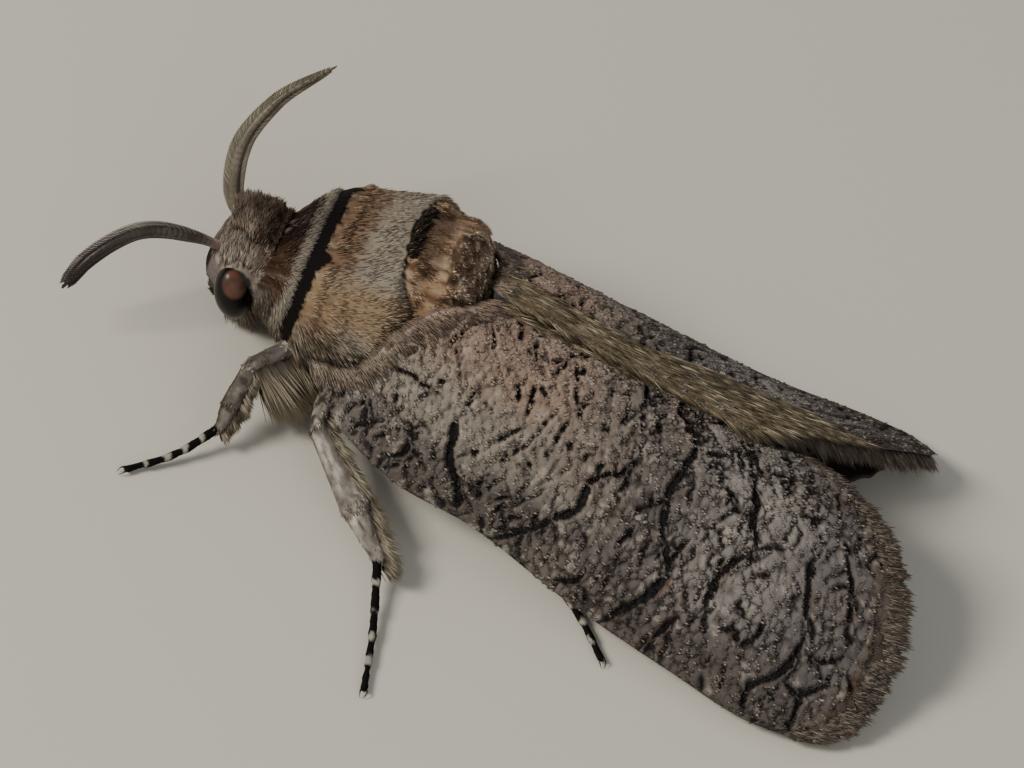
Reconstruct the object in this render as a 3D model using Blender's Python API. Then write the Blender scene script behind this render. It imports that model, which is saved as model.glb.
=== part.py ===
"""A culama suffusca moth at rest, life size, as a still model.

The body lies along Y with the head towards -Y, +X is the moth's left and Z is up. The origin
is on the floor, under the middle of the whole model. Sizes and places are in millimetres,
measured from the point under the wing roots, and finish_node moves and scales them at the end.
"""

import math

import bmesh
import bpy
import numpy as np
from mathutils import Matrix, Vector

# Driving dimensions, in millimetres

MM = 0.001
MIDDLE_X = 2.95
MIDDLE_Y = 0.25
GAP = 0.28
THORAX_HALF_WIDTH = 3.45
THORAX_MIDDLE_HEIGHT = 3.55
WING_THICKNESS = 0.5
WING_EDGE_THICKNESS = 0.34
VEIN_HEIGHT = 0.1
EYE_RADIUS = 0.8
TARSUS_RADIUS = 0.235
LOCK_THICKNESS = 0.3
LOCK_SINK = 0.25
SEED = 5180

# Colours of the plain materials, as sRGB values from 0 to 1

GREY_SCALES = (0.42, 0.38, 0.35)
BROWN_SCALES = (0.33, 0.26, 0.21)
BLACK_SCALES = (0.07, 0.06, 0.06)
OLIVE_SCALES = (0.35, 0.32, 0.26)
EYE_COLOUR = (0.20, 0.11, 0.08)


# Curves and surfaces

def spline(points, amounts):
    """Points at these amounts, 0 to 1, along a smooth curve through the given points."""
    points = np.asarray(points, float)
    amounts = np.asarray(amounts, float)
    steps = np.linalg.norm(np.diff(points, axis=0), axis=1)
    knots = np.concatenate([[0.0], np.cumsum(steps)]) / steps.sum()
    slopes = np.gradient(points, knots, axis=0)
    index = np.clip(np.searchsorted(knots, amounts, side="right") - 1, 0, len(knots) - 2)
    span = (knots[index + 1] - knots[index])[..., None]
    t = (amounts[..., None] - knots[index][..., None]) / span
    start = (2 * t**3 - 3 * t**2 + 1) * points[index]
    leaving = (t**3 - 2 * t**2 + t) * span * slopes[index]
    end = (3 * t**2 - 2 * t**3) * points[index + 1]
    arriving = (t**3 - t**2) * span * slopes[index + 1]
    return start + leaving + end + arriving


def patch(inner, outer, root, margin, along, across, fade=1):
    """A surface that spans four curves: inner and outer run along it, root and margin across.

    The bend of the root dies away along it, faster with a higher fade.
    """
    u = np.asarray(along, float)[..., None]
    v = np.asarray(across, float)[..., None]
    between_sides = (1 - v) * spline(inner, along) + v * spline(outer, along)
    root_bend = spline(root, across) - (1 - v) * np.array(root[0]) - v * np.array(root[-1])
    margin_bend = spline(margin, across) - (1 - v) * np.array(margin[0]) - v * np.array(margin[-1])
    return between_sides + (1 - u) ** fade * root_bend + u * margin_bend


def facing(grid):
    """The unit normals of a grid of points, by its neighbours."""
    normals = np.cross(np.gradient(grid, axis=0), np.gradient(grid, axis=1))
    return normals / np.linalg.norm(normals, axis=-1, keepdims=True)


# Meshes

def make_mesh(name, points, faces):
    mesh = bpy.data.meshes.new(name)
    mesh.from_pydata([tuple(map(float, p)) for p in points], [], [tuple(map(int, f)) for f in faces])
    scrap = bmesh.new()
    scrap.from_mesh(mesh)
    bmesh.ops.recalc_face_normals(scrap, faces=scrap.faces)
    bmesh.ops.triangulate(scrap, faces=scrap.faces)
    scrap.to_mesh(mesh)
    scrap.free()
    return mesh


def stack(rings):
    """Points and faces of a closed body through rings of equal counts, with flat ends."""
    count = len(rings[0])
    faces = [list(range(count)), [(len(rings) - 1) * count + k for k in range(count)]]
    for i in range(len(rings) - 1):
        for k in range(count):
            near = i * count + k
            beside = i * count + (k + 1) % count
            faces.append([near, beside, beside + count, near + count])
    return np.concatenate(rings), faces


def trunk_rings(rows, steps, sides, grow=0.0):
    """Rings for a stretch of the trunk. A row is (y, half width, middle height, up, down)."""
    rows = np.array(rows, float)
    stations = spline(rows, np.linspace(0, 1, steps))
    stations[0, 0] -= grow
    stations[-1, 0] += grow
    turn = np.linspace(0, 2 * math.pi, sides, endpoint=False)
    rings = []
    for y, width, middle, up, down in stations:
        reach = np.where(np.sin(turn) > 0, up + grow, down + grow)
        x = body_axis(y) + (width + grow) * np.cos(turn)
        rings.append(np.stack([x, np.full(sides, y), middle + reach * np.sin(turn)], 1))
    return rings


def body_axis(y):
    """How far to its left the body behind the thorax has swung."""
    return 0.06 * max(0.0, y + 2.0)


def tube_rings(path, radii, sides, squash=1.0, flat_start=None, flat_end=None, roll=(0, 0, 1)):
    """Rings along a path. squash narrows them across roll, and an end may lie on a plane."""
    path = np.array(path, float)
    tangents = np.gradient(path, axis=0)
    tangents /= np.linalg.norm(tangents, axis=1, keepdims=True)
    turn = np.linspace(0, 2 * math.pi, sides, endpoint=False)
    rings = []
    for centre, tangent, radius in zip(path, tangents, radii):
        side = np.cross(tangent, roll)
        side /= np.linalg.norm(side)
        over = np.cross(side, tangent)
        rings.append(
            centre
            + radius * np.cos(turn)[:, None] * side
            + radius * squash * np.sin(turn)[:, None] * over
        )
    for index, plane in ((0, flat_start), (-1, flat_end)):
        if plane is not None:
            point, normal = plane
            away = (np.array(point) - rings[index]) @ normal / (tangents[index] @ normal)
            rings[index] = rings[index] + away[:, None] * tangents[index]
    return rings


def trunk_point(rows, y, angle):
    """The place on a stretch of the trunk at this y and angle, in degrees, and the way out."""
    rows = np.array(rows, float)
    _, width, middle, up, down = [np.interp(y, rows[:, 0], rows[:, k]) for k in range(5)]
    turn = math.radians(angle)
    reach = up if math.sin(turn) > 0 else down
    place = (body_axis(y) + width * math.cos(turn), y, middle + reach * math.sin(turn))
    out = np.array((math.cos(turn) / width, 0, math.sin(turn) / reach))
    return np.array(place), out / np.linalg.norm(out)


def lock_rings(root, lie, out, length, width, lift):
    """A flat, tapered lock of hair, sunk at its root, that bends away from what it lies on."""
    lie = np.array(lie, float) / np.linalg.norm(lie)
    side = np.cross(lie, out)
    side /= np.linalg.norm(side)
    over = np.cross(side, lie)
    over *= np.sign(over @ out)
    rings = []
    for t, share in ((0, 0.8), (0.4, 1.0), (0.75, 0.68), (1, 0.12)):
        middle = root - np.array(out) * LOCK_SINK + lie * length * t + over * lift * t**2
        across = side * width * share / 2
        through = over * LOCK_THICKNESS * share / 2
        rings.append(np.array([middle + across, middle + through, middle - across, middle - through]))
    return rings


# Nodes

def material(name, colour, roughness, metallic=0.0):
    found = bpy.data.materials.get(name)
    if found:
        return found
    made = bpy.data.materials.new(name)
    made.use_nodes = True
    shader = made.node_tree.nodes["Principled BSDF"]
    shader.inputs["Base Color"].default_value = (*(c**2.2 for c in colour), 1)
    shader.inputs["Roughness"].default_value = roughness
    shader.inputs["Metallic"].default_value = metallic
    return made


def add_object(name, mesh):
    made = bpy.data.objects.new(name, mesh)
    bpy.context.collection.objects.link(made)
    return made


def body_of(name, rings):
    return add_object(name, make_mesh(name, *stack(rings)))


def apply_boolean(target, operation, others):
    """Joins the others to the target, or cuts them out of it, and removes them."""
    group = bpy.data.collections.new("pieces")
    bpy.context.scene.collection.children.link(group)
    for other in others:
        bpy.context.collection.objects.unlink(other)
        group.objects.link(other)
    step = target.modifiers.new(operation, "BOOLEAN")
    step.operation = operation
    step.operand_type = "COLLECTION"
    step.collection = group
    graph = bpy.context.evaluated_depsgraph_get()
    result = bpy.data.meshes.new_from_object(target.evaluated_get(graph))
    target.modifiers.clear()
    target.data = result
    for other in others:
        bpy.data.objects.remove(other)
    bpy.data.collections.remove(group)
    keep_largest(result)


def keep_largest(mesh):
    """Keeps only the closed surface that holds the most."""
    scrap = bmesh.new()
    scrap.from_mesh(mesh)
    left = set(scrap.verts)
    shells = []
    while left:
        shell = {left.pop()}
        edge = list(shell)
        while edge:
            for link in edge.pop().link_edges:
                for end in link.verts:
                    if end in left:
                        left.discard(end)
                        shell.add(end)
                        edge.append(end)
        shells.append(shell)
    shells.sort(key=lambda shell: -volume_of({face for vert in shell for face in vert.link_faces}))
    for shell in shells[1:]:
        bmesh.ops.delete(scrap, geom=list(shell), context="VERTS")
    bmesh.ops.triangulate(scrap, faces=scrap.faces)
    scrap.to_mesh(mesh)
    scrap.free()


def volume_of(faces):
    total = 0.0
    for face in faces:
        first = face.verts[0].co
        for a, b in zip(face.verts[1:], face.verts[2:]):
            total += first.dot(a.co.cross(b.co)) / 6
    return abs(total)


def finish_node(made, look):
    """Gives a node its material and smooth shading, and moves it into the model's frame."""
    for point in made.data.vertices:
        point.co = (point.co - Vector((MIDDLE_X, MIDDLE_Y, 0))) * MM
    made.data.materials.clear()
    made.data.materials.append(look)
    made.data.shade_smooth()
    made.data.set_sharp_from_angle(angle=math.radians(40))


chance = np.random.default_rng(SEED)


# Head, eyes, palps and antennae

HEAD_ROWS = [
    (-10.75, 0.55, 2.5, 0.6, 0.6),
    (-10.45, 1.15, 2.6, 1.15, 1.15),
    (-9.9, 1.6, 2.75, 1.6, 1.5),
    (-9.3, 1.75, 2.85, 1.75, 1.6),
    (-8.72, 1.68, 2.95, 1.75, 1.6),
]
TUFT_MIDDLE_Y = -9.75
TUFT_ROWS = [(-9.8, 0.75, 3.2), (-9.75, 0.85, 4.0), (-9.7, 0.65, 4.55)]
TUFT_LOCKS = 11
TUFT_TIP = 5.05
EYE_MIDDLE = (1.45, -9.37, 2.35)
EYE_SHAPE = (0.8, 0.85, 1.06)
EYE_TILT = 20.0
PALP_PATH = [(0.45, -9.6, 0.88), (0.45, -10.15, 0.92), (0.42, -10.5, 1.3)]
PALP_RADII = [0.32, 0.3, 0.18]
LEFT_ANTENNA = [
    (0.7, -9.9, 3.3),
    (1.1, -11.0, 3.66),
    (2.1, -12.75, 3.9),
    (3.3, -13.85, 3.2),
    (4.0, -14.34, 2.12),
]
RIGHT_ANTENNA = [
    (-0.6, -9.9, 3.1),
    (-0.95, -10.6, 4.0),
    (-1.8, -11.0, 5.35),
    (-2.8, -10.6, 6.6),
    (-4.1, -9.21, 8.1),
]
ANTENNA_ACROSS = {"left": (1, 0.3, 0.3), "right": (0.6, 0.0, 0.4)}
LEFT_ANTENNA_WIDTHS = [0.2, 0.2, 0.24, 0.28, 0.31, 0.32, 0.31, 0.28, 0.22, 0.1]
RIGHT_ANTENNA_WIDTHS = [0.27, 0.29, 0.32, 0.34, 0.32, 0.29, 0.26, 0.22, 0.16, 0.06]
ANTENNA_FLATNESS = 0.85
SHAFT_SHARE = 0.72
BRANCHES = 12
BRANCH_THICKNESS = 0.26
BRANCH_LEAN = 0.4
FIRST_BRANCH = 0.14
LAST_BRANCH = 0.9


def build_head(grey):
    head = body_of("head", trunk_rings(HEAD_ROWS, 9, 20))
    apply_boolean(head, "UNION", [body_of("tuft", tuft_rings()), *tuft_locks()])
    sockets = [ball("socket", EYE_RADIUS, side, GAP) for side in (1, -1)]
    apply_boolean(head, "DIFFERENCE", sockets)
    finish_node(head, grey)


def tuft_locks():
    """The crown's upright hairs, as locks round the core of its tuft and on it."""
    locks = []
    for k in range(TUFT_LOCKS):
        turn = 2.4 * k
        spread = 0.25 + 0.75 * (k + 0.5) / TUFT_LOCKS
        away = np.array((0.8 * math.cos(turn), 0.55 * math.sin(turn), 0)) * spread
        root = np.array((0, TUFT_MIDDLE_Y, 3.75)) + away
        lie = np.array((0, 0.05, 1)) + away * (0.2 + 0.15 * chance.random())
        length = (TUFT_TIP - 3.75) * (1.12 - 0.3 * spread * chance.random())
        locks.append(lock_rings(root, lie, away, length, 0.5 + 0.15 * chance.random(), 0.08))
    return [body_of("lock", rings) for rings in locks]


def tuft_rings(grow=0.0):
    """The core of the upright tuft on the crown, up to half way to the tips of its hairs."""
    rings = []
    for y, reach, height in TUFT_ROWS:
        turn = np.linspace(0, 2 * math.pi, 12, endpoint=False)
        x = (reach + grow) * np.cos(turn)
        depth = (0.6 * reach + grow) * np.sin(turn)
        rings.append(np.stack([x, y + depth, np.full(12, height)], 1))
    return rings


def head_room():
    """The head grown by the gap, to cut what grows from it clear."""
    room = body_of("head_room", trunk_rings(HEAD_ROWS, 9, 20, GAP))
    return [room, body_of("tuft_room", tuft_rings(GAP))]


def ball(name, radius, side, grow=0.0):
    """An eye's upright ellipsoid, its top leaning forward, grown to make its socket."""
    made = bpy.data.meshes.new(name)
    scrap = bmesh.new()
    bmesh.ops.create_icosphere(scrap, subdivisions=2 if grow else 3, radius=1.0)
    size = [radius * share + grow for share in EYE_SHAPE]
    bmesh.ops.scale(scrap, verts=scrap.verts, vec=size)
    lean = Matrix.Rotation(math.radians(EYE_TILT), 3, "X")
    bmesh.ops.rotate(scrap, verts=scrap.verts, matrix=lean)
    bmesh.ops.translate(scrap, verts=scrap.verts, vec=(side * EYE_MIDDLE[0], *EYE_MIDDLE[1:]))
    scrap.to_mesh(made)
    scrap.free()
    return add_object(name, made)


def build_eyes(look):
    for side, word in ((1, "left"), (-1, "right")):
        finish_node(ball("eye_" + word, EYE_RADIUS, side), look)


def build_palps(look):
    for side, word in ((1, "left"), (-1, "right")):
        path = spline(PALP_PATH, np.linspace(0, 1, 6)) * (side, 1, 1)
        radii = np.interp(np.linspace(0, 1, 6), [0, 0.5, 1], PALP_RADII)
        palp = body_of("palp_" + word, tube_rings(path, radii, 8, roll=(1, 0, 0)))
        apply_boolean(palp, "DIFFERENCE", head_room())
        finish_node(palp, look)


def antenna_branches(path, widths, across):
    """The comb's branches, in pairs that lean towards the tip and lie one behind the other."""
    branches = []
    for k in range(BRANCHES):
        amount = FIRST_BRANCH + (LAST_BRANCH - FIRST_BRANCH) * k / (BRANCHES - 1)
        root, ahead = spline(path, np.array([amount, amount + 0.02]))
        reach = np.interp(amount, np.linspace(0, 1, len(widths)), widths)
        lie = (ahead - root) / np.linalg.norm(ahead - root)
        blade = np.cross(lie, across)
        blade /= np.linalg.norm(blade)
        for side in (1, -1):
            toward = lie + side * blade * BRANCH_LEAN
            tip = root + toward * reach / BRANCH_LEAN
            radii = (BRANCH_THICKNESS / 2, BRANCH_THICKNESS / 6)
            branches.append(body_of("branch", tube_rings([root, tip], radii, 3, roll=across)))
    return branches


def build_antennae(look):
    for word, path, widths in (
        ("left", LEFT_ANTENNA, LEFT_ANTENNA_WIDTHS),
        ("right", RIGHT_ANTENNA, RIGHT_ANTENNA_WIDTHS),
    ):
        steps = np.linspace(0, 1, 20)
        radii = np.interp(steps, np.linspace(0, 1, len(widths)), widths)
        across = np.array(ANTENNA_ACROSS[word]) / np.linalg.norm(ANTENNA_ACROSS[word])
        shaft = tube_rings(spline(path, steps), radii * SHAFT_SHARE, 8, ANTENNA_FLATNESS, roll=across)
        antenna = body_of("antenna_" + word, shaft)
        apply_boolean(antenna, "UNION", antenna_branches(path, widths, across))
        apply_boolean(antenna, "DIFFERENCE", head_room())
        finish_node(antenna, look)


# Trunk, from the collar back to the tip of the abdomen

COLLAR_ROWS = [
    (-8.42, 1.85, 3.1, 1.95, 1.75),
    (-8.1, 2.15, 3.25, 2.25, 2.0),
    (-7.6, 2.75, 3.4, 2.6, 2.35),
    (-7.28, 3.0, 3.5, 2.8, 2.5),
]
THORAX_ROWS = [
    (-7.0, 3.1, 3.5, 2.85, 2.6),
    (-6.0, THORAX_HALF_WIDTH - 0.05, 3.5, 3.15, 2.8),
    (-5.1, THORAX_HALF_WIDTH + 0.05, THORAX_MIDDLE_HEIGHT, 3.5, 2.85),
    (-4.36, THORAX_HALF_WIDTH + 0.15, THORAX_MIDDLE_HEIGHT, 3.95, 2.85),
]
METATHORAX_ROWS = [
    (-4.08, THORAX_HALF_WIDTH + 0.1, THORAX_MIDDLE_HEIGHT, 3.85, 2.8),
    (-3.2, THORAX_HALF_WIDTH, 3.5, 3.65, 2.7),
    (-2.45, 3.2, 3.4, 3.35, 2.4),
    (-1.95, 2.6, 3.3, 2.9, 2.0),
]
ABDOMEN_ROWS = [
    (-1.67, 1.6, 2.35, 1.5, 1.6),
    (2.0, 1.4, 2.15, 1.35, 1.45),
    (6.0, 1.25, 2.0, 1.2, 1.3),
    (9.0, 1.1, 1.95, 0.9, 0.95),
    (10.4, 0.35, 1.9, 0.35, 0.35),
]


# A row of locks across the back is (y, from angle, to angle, count, length, width, rise, lift).
# rise is how steeply its locks stand, from 0 for flat to 1 for as much outwards as back.
COLLAR_LOCKS = [(-8.15, -10, 190, 9, 0.8, 1.0, 0.05, 0.0)]
THORAX_LOCKS = [
    (-6.75, 8, 172, 7, 1.25, 1.3, 0.05, 0.0),
    (-5.75, 20, 160, 6, 1.05, 1.3, 0.08, 0.0),
    (-4.85, 38, 160, 8, 0.72, 1.0, 0.9, 0.05),
]
METATHORAX_LOCKS = [
    (-3.6, 66, 140, 5, 1.1, 1.3, 0.15, 0.0),
    (-2.7, 82, 132, 4, 0.8, 1.1, 0.4, -0.1),
]
ABDOMEN_LOCKS = [(9.3, 0, 300, 6, 1.3, 0.6, -0.25, 0.0)]


def build_trunk(grey, brown):
    for name, rows, steps, locks, look in (
        ("collar", COLLAR_ROWS, 5, COLLAR_LOCKS, brown),
        ("thorax", THORAX_ROWS, 6, THORAX_LOCKS, grey),
        ("metathorax", METATHORAX_ROWS, 7, METATHORAX_LOCKS, brown),
        ("abdomen", ABDOMEN_ROWS, 9, ABDOMEN_LOCKS, grey),
    ):
        stretch = body_of(name, trunk_rings(rows, steps, 24))
        apply_boolean(stretch, "UNION", trunk_locks(rows, locks))
        finish_node(stretch, look)


def trunk_locks(rows, locks):
    """Rows of overlapping locks, swept back over the trunk."""
    made = []
    for y, first, last, count, length, width, rise, lift in locks:
        for k, angle in enumerate(np.linspace(first, last, count)):
            angle = angle + 3 * chance.uniform(-1, 1)
            root, out = trunk_point(rows, y + 0.12 * (k % 2), angle)
            further, _ = trunk_point(rows, y + 0.12 * (k % 2) + 0.1, angle)
            lie = (further - root) / np.linalg.norm(further - root) + rise * out
            reach = length * chance.uniform(0.88, 1.08)
            made.append(lock_rings(root + out * LOCK_SINK * 0.7, lie, out, reach, width, lift))
    return [body_of("lock", rings) for rings in made]


def thorax_room():
    """The thorax and what joins it, each grown by the gap, to cut what grows from them clear."""
    return [
        body_of("room", trunk_rings(rows, 8, 28, GAP))
        for rows in (COLLAR_ROWS, THORAX_ROWS, METATHORAX_ROWS)
    ]


# Wings. Each forewing spans four curves: the inner edge along the back, the front edge or
# costa, the root against the thorax, and the outer margin. It is bulged between them, and its
# root's bend fades away from the thorax. The right one lies on the left.

WING_STEPS = 26
WING_ROWS = 13
FRINGE_TOOTH = 0.16
LEFT_WING = {
    "inner": [(0.3, -1.55, 5.2), (0.12, 2.0, 4.8), (-0.25, 5.5, 4.12), (-1.05, 8.6, 3.5)],
    "outer": [
        (3.5, -6.3, 3.0),
        (5.0, -4.5, 2.5),
        (5.7, -2.2, 1.9),
        (5.85, 0.6, 1.63),
        (6.6, 4.2, 1.12),
        (7.3, 8.3, 0.8),
        (7.7, 11.2, 0.62),
        (7.5, 13.0, 0.58),
    ],
    "root": [
        (0.3, -1.55, 5.2),
        (1.35, -2.0, 6.3),
        (2.65, -3.1, 6.7),
        (3.5, -3.9, 6.0),
        (4.1, -4.7, 4.2),
        (3.5, -6.3, 3.0),
    ],
    "fade": 3,
    "bulge": 0.3,
    "margin": [
        (-1.05, 8.6, 3.5),
        (-0.4, 10.6, 4.0),
        (0.9, 13.0, 3.7),
        (2.9, 14.5, 2.6),
        (5.0, 14.75, 1.4),
        (6.75, 14.1, 0.68),
        (7.5, 13.0, 0.58),
    ],
}
RIGHT_WING = {
    "inner": [(0.1, -1.55, 6.05), (0.35, 1.0, 5.95), (0.45, 4.0, 5.65), (0.5, 7.2, 5.25)],
    "outer": [
        (-3.5, -6.3, 3.0),
        (-4.9, -4.4, 2.5),
        (-5.85, -2.0, 1.7),
        (-6.2, 0.8, 1.2),
        (-6.3, 4.3, 0.85),
        (-6.35, 8.1, 0.62),
        (-6.6, 11.2, 0.55),
        (-6.6, 12.6, 0.55),
    ],
    "root": [(0.1, -1.55, 6.05), (-2.2, -2.1, 5.3), (-3.0, -3.9, 4.4), (-3.5, -6.3, 3.0)],
    "fade": 1,
    "bulge": -0.1,
    "margin": [
        (0.5, 7.2, 5.25),
        (-1.0, 9.2, 4.6),
        (-2.6, 11.3, 3.6),
        (-4.3, 12.9, 2.4),
        (-5.7, 13.6, 1.2),
        (-6.6, 12.6, 0.55),
    ],
}
HINDWING_STEPS = 16
HINDWING_ROWS = 7
HINDWING_DROP = WING_THICKNESS + GAP + 0.15


def wing_surface(wing, along, across):
    """The top of a forewing, bulged a little above the flat between its edges."""
    curves = [wing[name] for name in ("inner", "outer", "root", "margin")]
    span = patch(*curves, along, across, wing["fade"])
    rise = wing["bulge"] * np.sin(math.pi * np.clip(along, 0, 1)) ** 0.5
    rise = rise * 4 * across * (1 - across)
    chord = np.array(wing["outer"][4]) - np.array(wing["inner"][2])
    outward = np.cross(chord, (0, 1, 0)) * np.sign(chord[0])
    outward = outward / np.linalg.norm(outward)
    return span + rise[..., None] * outward


def sheet(top, thickness):
    """A closed sheet below a grid of points, split alike on both faces."""
    downward = facing(top)
    downward *= -np.sign(downward[..., 2:3].mean())
    bottom = top + downward * thickness[..., None]
    rows, columns = top.shape[:2]
    points = np.concatenate([top.reshape(-1, 3), bottom.reshape(-1, 3)])
    below = rows * columns
    faces = []
    for i in range(rows - 1):
        for k in range(columns - 1):
            a = i * columns + k
            b = a + 1
            c = a + columns + 1
            d = a + columns
            faces += [(a, b, c), (a, c, d)]
            faces += [(a + below, c + below, b + below), (a + below, d + below, c + below)]
    rim = [k for k in range(columns)]
    rim += [i * columns + columns - 1 for i in range(1, rows)]
    rim += [(rows - 1) * columns + k for k in range(columns - 2, -1, -1)]
    rim += [i * columns for i in range(rows - 2, 0, -1)]
    for a, b in zip(rim, rim[1:] + rim[:1]):
        faces += [(a, a + below, b + below), (a, b + below, b)]
    return points, faces


def build_forewing(name, wing, look):
    along, across = np.meshgrid(
        np.linspace(0, 1, WING_STEPS), np.linspace(0, 1, WING_ROWS), indexing="ij"
    )
    top = wing_surface(wing, along, across)
    tooth = np.where(np.arange(WING_ROWS) % 2 == 0, FRINGE_TOOTH, -FRINGE_TOOTH)
    outward = top[-1] - top[-2]
    outward /= np.linalg.norm(outward, axis=1, keepdims=True)
    top[-1] += outward * tooth[:, None]
    vein = np.where(np.arange(WING_ROWS) % 2 == 1, VEIN_HEIGHT, 0.0)
    lift = vein * np.sin(math.pi * along) ** 0.3
    rim = np.minimum(np.minimum(across, 1 - across) * 8, (1 - along) * 16)
    thickness = WING_EDGE_THICKNESS + (WING_THICKNESS - WING_EDGE_THICKNESS) * np.clip(rim, 0, 1)
    top[..., 2] += lift
    forewing = add_object(name, make_mesh(name, *sheet(top, thickness + lift)))
    apply_boolean(forewing, "DIFFERENCE", thorax_room())
    finish_node(forewing, look)


def build_hindwing(name, wing, look):
    """A hindwing, folded flat under its forewing and narrower than it."""
    along, across = np.meshgrid(
        np.linspace(0, 1, HINDWING_STEPS), np.linspace(0, 1, HINDWING_ROWS), indexing="ij"
    )
    inner = [(0.12, 0.53, 0), (0.35, 0.53, 0), (0.62, 0.51, 0), (0.8, 0.5, 0)]
    outer = [(0.1, 0.62, 0), (0.35, 0.77, 0), (0.62, 0.8, 0), (0.8, 0.72, 0)]
    root = [inner[0], (0.1, 0.56, 0), outer[0]]
    margin = [inner[-1], (0.83, 0.61, 0), outer[-1]]
    place = patch(inner, outer, root, margin, along, across)
    forewing = wing_surface(wing, place[..., 0], place[..., 1])
    downward = facing(forewing)
    downward *= -np.sign(downward[..., 2:3].mean())
    top = forewing + downward * HINDWING_DROP
    thickness = np.full(along.shape, WING_THICKNESS)
    hindwing = add_object(name, make_mesh(name, *sheet(top, thickness)))
    apply_boolean(hindwing, "DIFFERENCE", thorax_room())
    finish_node(hindwing, look)


# Legs. Each has a femur, a tibia and a tarsus, along hip, knee, ankle, sole and toe. A right
# leg's places are given as if on the left, and the right legs are tucked in under the body. A toe
# lies on the floor, so its middle is TOE_HEIGHT up.

TOE_HEIGHT = 0.175
LEFT_FORE_LEG = [
    (2.2, -6.9, 1.9),
    (3.9, -7.85, 2.25),
    (5.65, -7.95, 0.95),
    (6.9, -8.8, 0.42),
    (8.2, -10.1, TOE_HEIGHT),
]
RIGHT_FORE_LEG = [
    (2.2, -6.9, 1.9),
    (3.2, -7.85, 2.0),
    (4.0, -8.0, 0.95),
    (4.1, -8.7, 0.42),
    (3.7, -9.9, TOE_HEIGHT),
]
LEFT_MID_LEG = [
    (2.4, -5.3, 1.2),
    (4.7, -5.15, 1.75),
    (7.8, -1.7, 0.75),
    (10.2, -0.9, 0.3),
    (12.5, -0.4, TOE_HEIGHT),
]
RIGHT_MID_LEG = [
    (2.4, -5.3, 1.2),
    (4.1, -4.8, 1.6),
    (5.4, -2.0, 0.75),
    (5.9, -0.6, 0.3),
    (6.3, 1.2, TOE_HEIGHT),
]
LEFT_HIND_LEG = [
    (2.0, -3.0, 1.2),
    (3.4, -0.6, 0.95),
    (5.2, 3.4, 0.45),
    (6.3, 5.0, 0.22),
    (7.5, 6.1, TOE_HEIGHT),
]
RIGHT_HIND_LEG = [
    (2.0, -3.0, 1.2),
    (3.3, -0.6, 0.95),
    (4.4, 3.2, 0.45),
    (4.8, 4.9, 0.22),
    (5.1, 6.6, TOE_HEIGHT),
]
LEGS = {
    "fore": (LEFT_FORE_LEG, RIGHT_FORE_LEG),
    "mid": (LEFT_MID_LEG, RIGHT_MID_LEG),
    "hind": (LEFT_HIND_LEG, RIGHT_HIND_LEG),
}
FEMUR_RADII = {"fore": 0.42, "mid": 0.42, "hind": 0.36}
TIBIA_RADII = {"fore": (0.34, 0.42), "mid": (0.42, 0.62), "hind": (0.3, 0.36)}
TIBIA_THIN = {"fore": 0.8, "mid": 0.62, "hind": 0.7}
TARSUS_STEPS = 13
# The long hairs of a femur or tibia are (count, from, to, length, width, way they point).
FEMUR_LOCKS = {"fore": (5, 0.42, 0.74, 1.7, 0.7, (0.25, 1.0, -0.75)), "mid": (0,), "hind": (0,)}
TIBIA_LOCKS = {
    "fore": (4, 0.35, 0.8, 0.65, 0.45, (0.35, 0.6, -0.8)),
    "mid": (6, 0.25, 0.8, 1.15, 0.5, (0.55, 1.0, 0.05)),
    "hind": (3, 0.3, 0.7, 0.7, 0.4, (0.3, 1.0, 0.0)),
}


def mitre(before, joint, after):
    """The planes, half a gap each side of a joint, that halve its bend."""
    inward = np.subtract(joint, before)
    outward = np.subtract(after, joint)
    normal = inward / np.linalg.norm(inward) + outward / np.linalg.norm(outward)
    normal /= np.linalg.norm(normal)
    return (joint - normal * GAP / 2, normal), (joint + normal * GAP / 2, normal)


def leg_locks(settings, start, end, side, radius):
    """Long hairs that hang from one side of a stretch of leg and point towards its foot."""
    locks = []
    if settings[0] == 0:
        return locks
    count, first, last, length, width, way = settings
    way = np.array(way) * (side, 1, 1)
    for amount in np.linspace(first, last, count):
        root = start + (end - start) * amount
        along = (end - start) / np.linalg.norm(end - start)
        out = way - along * (way @ along)
        out /= np.linalg.norm(out)
        lie = way + 0.25 * along * chance.random()
        reach = length * chance.uniform(0.8, 1.05)
        rings = lock_rings(root + out * radius * 0.4, lie, np.cross(along, out), reach, width, 0.05)
        locks.append(body_of("lock", rings))
    return locks


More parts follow.
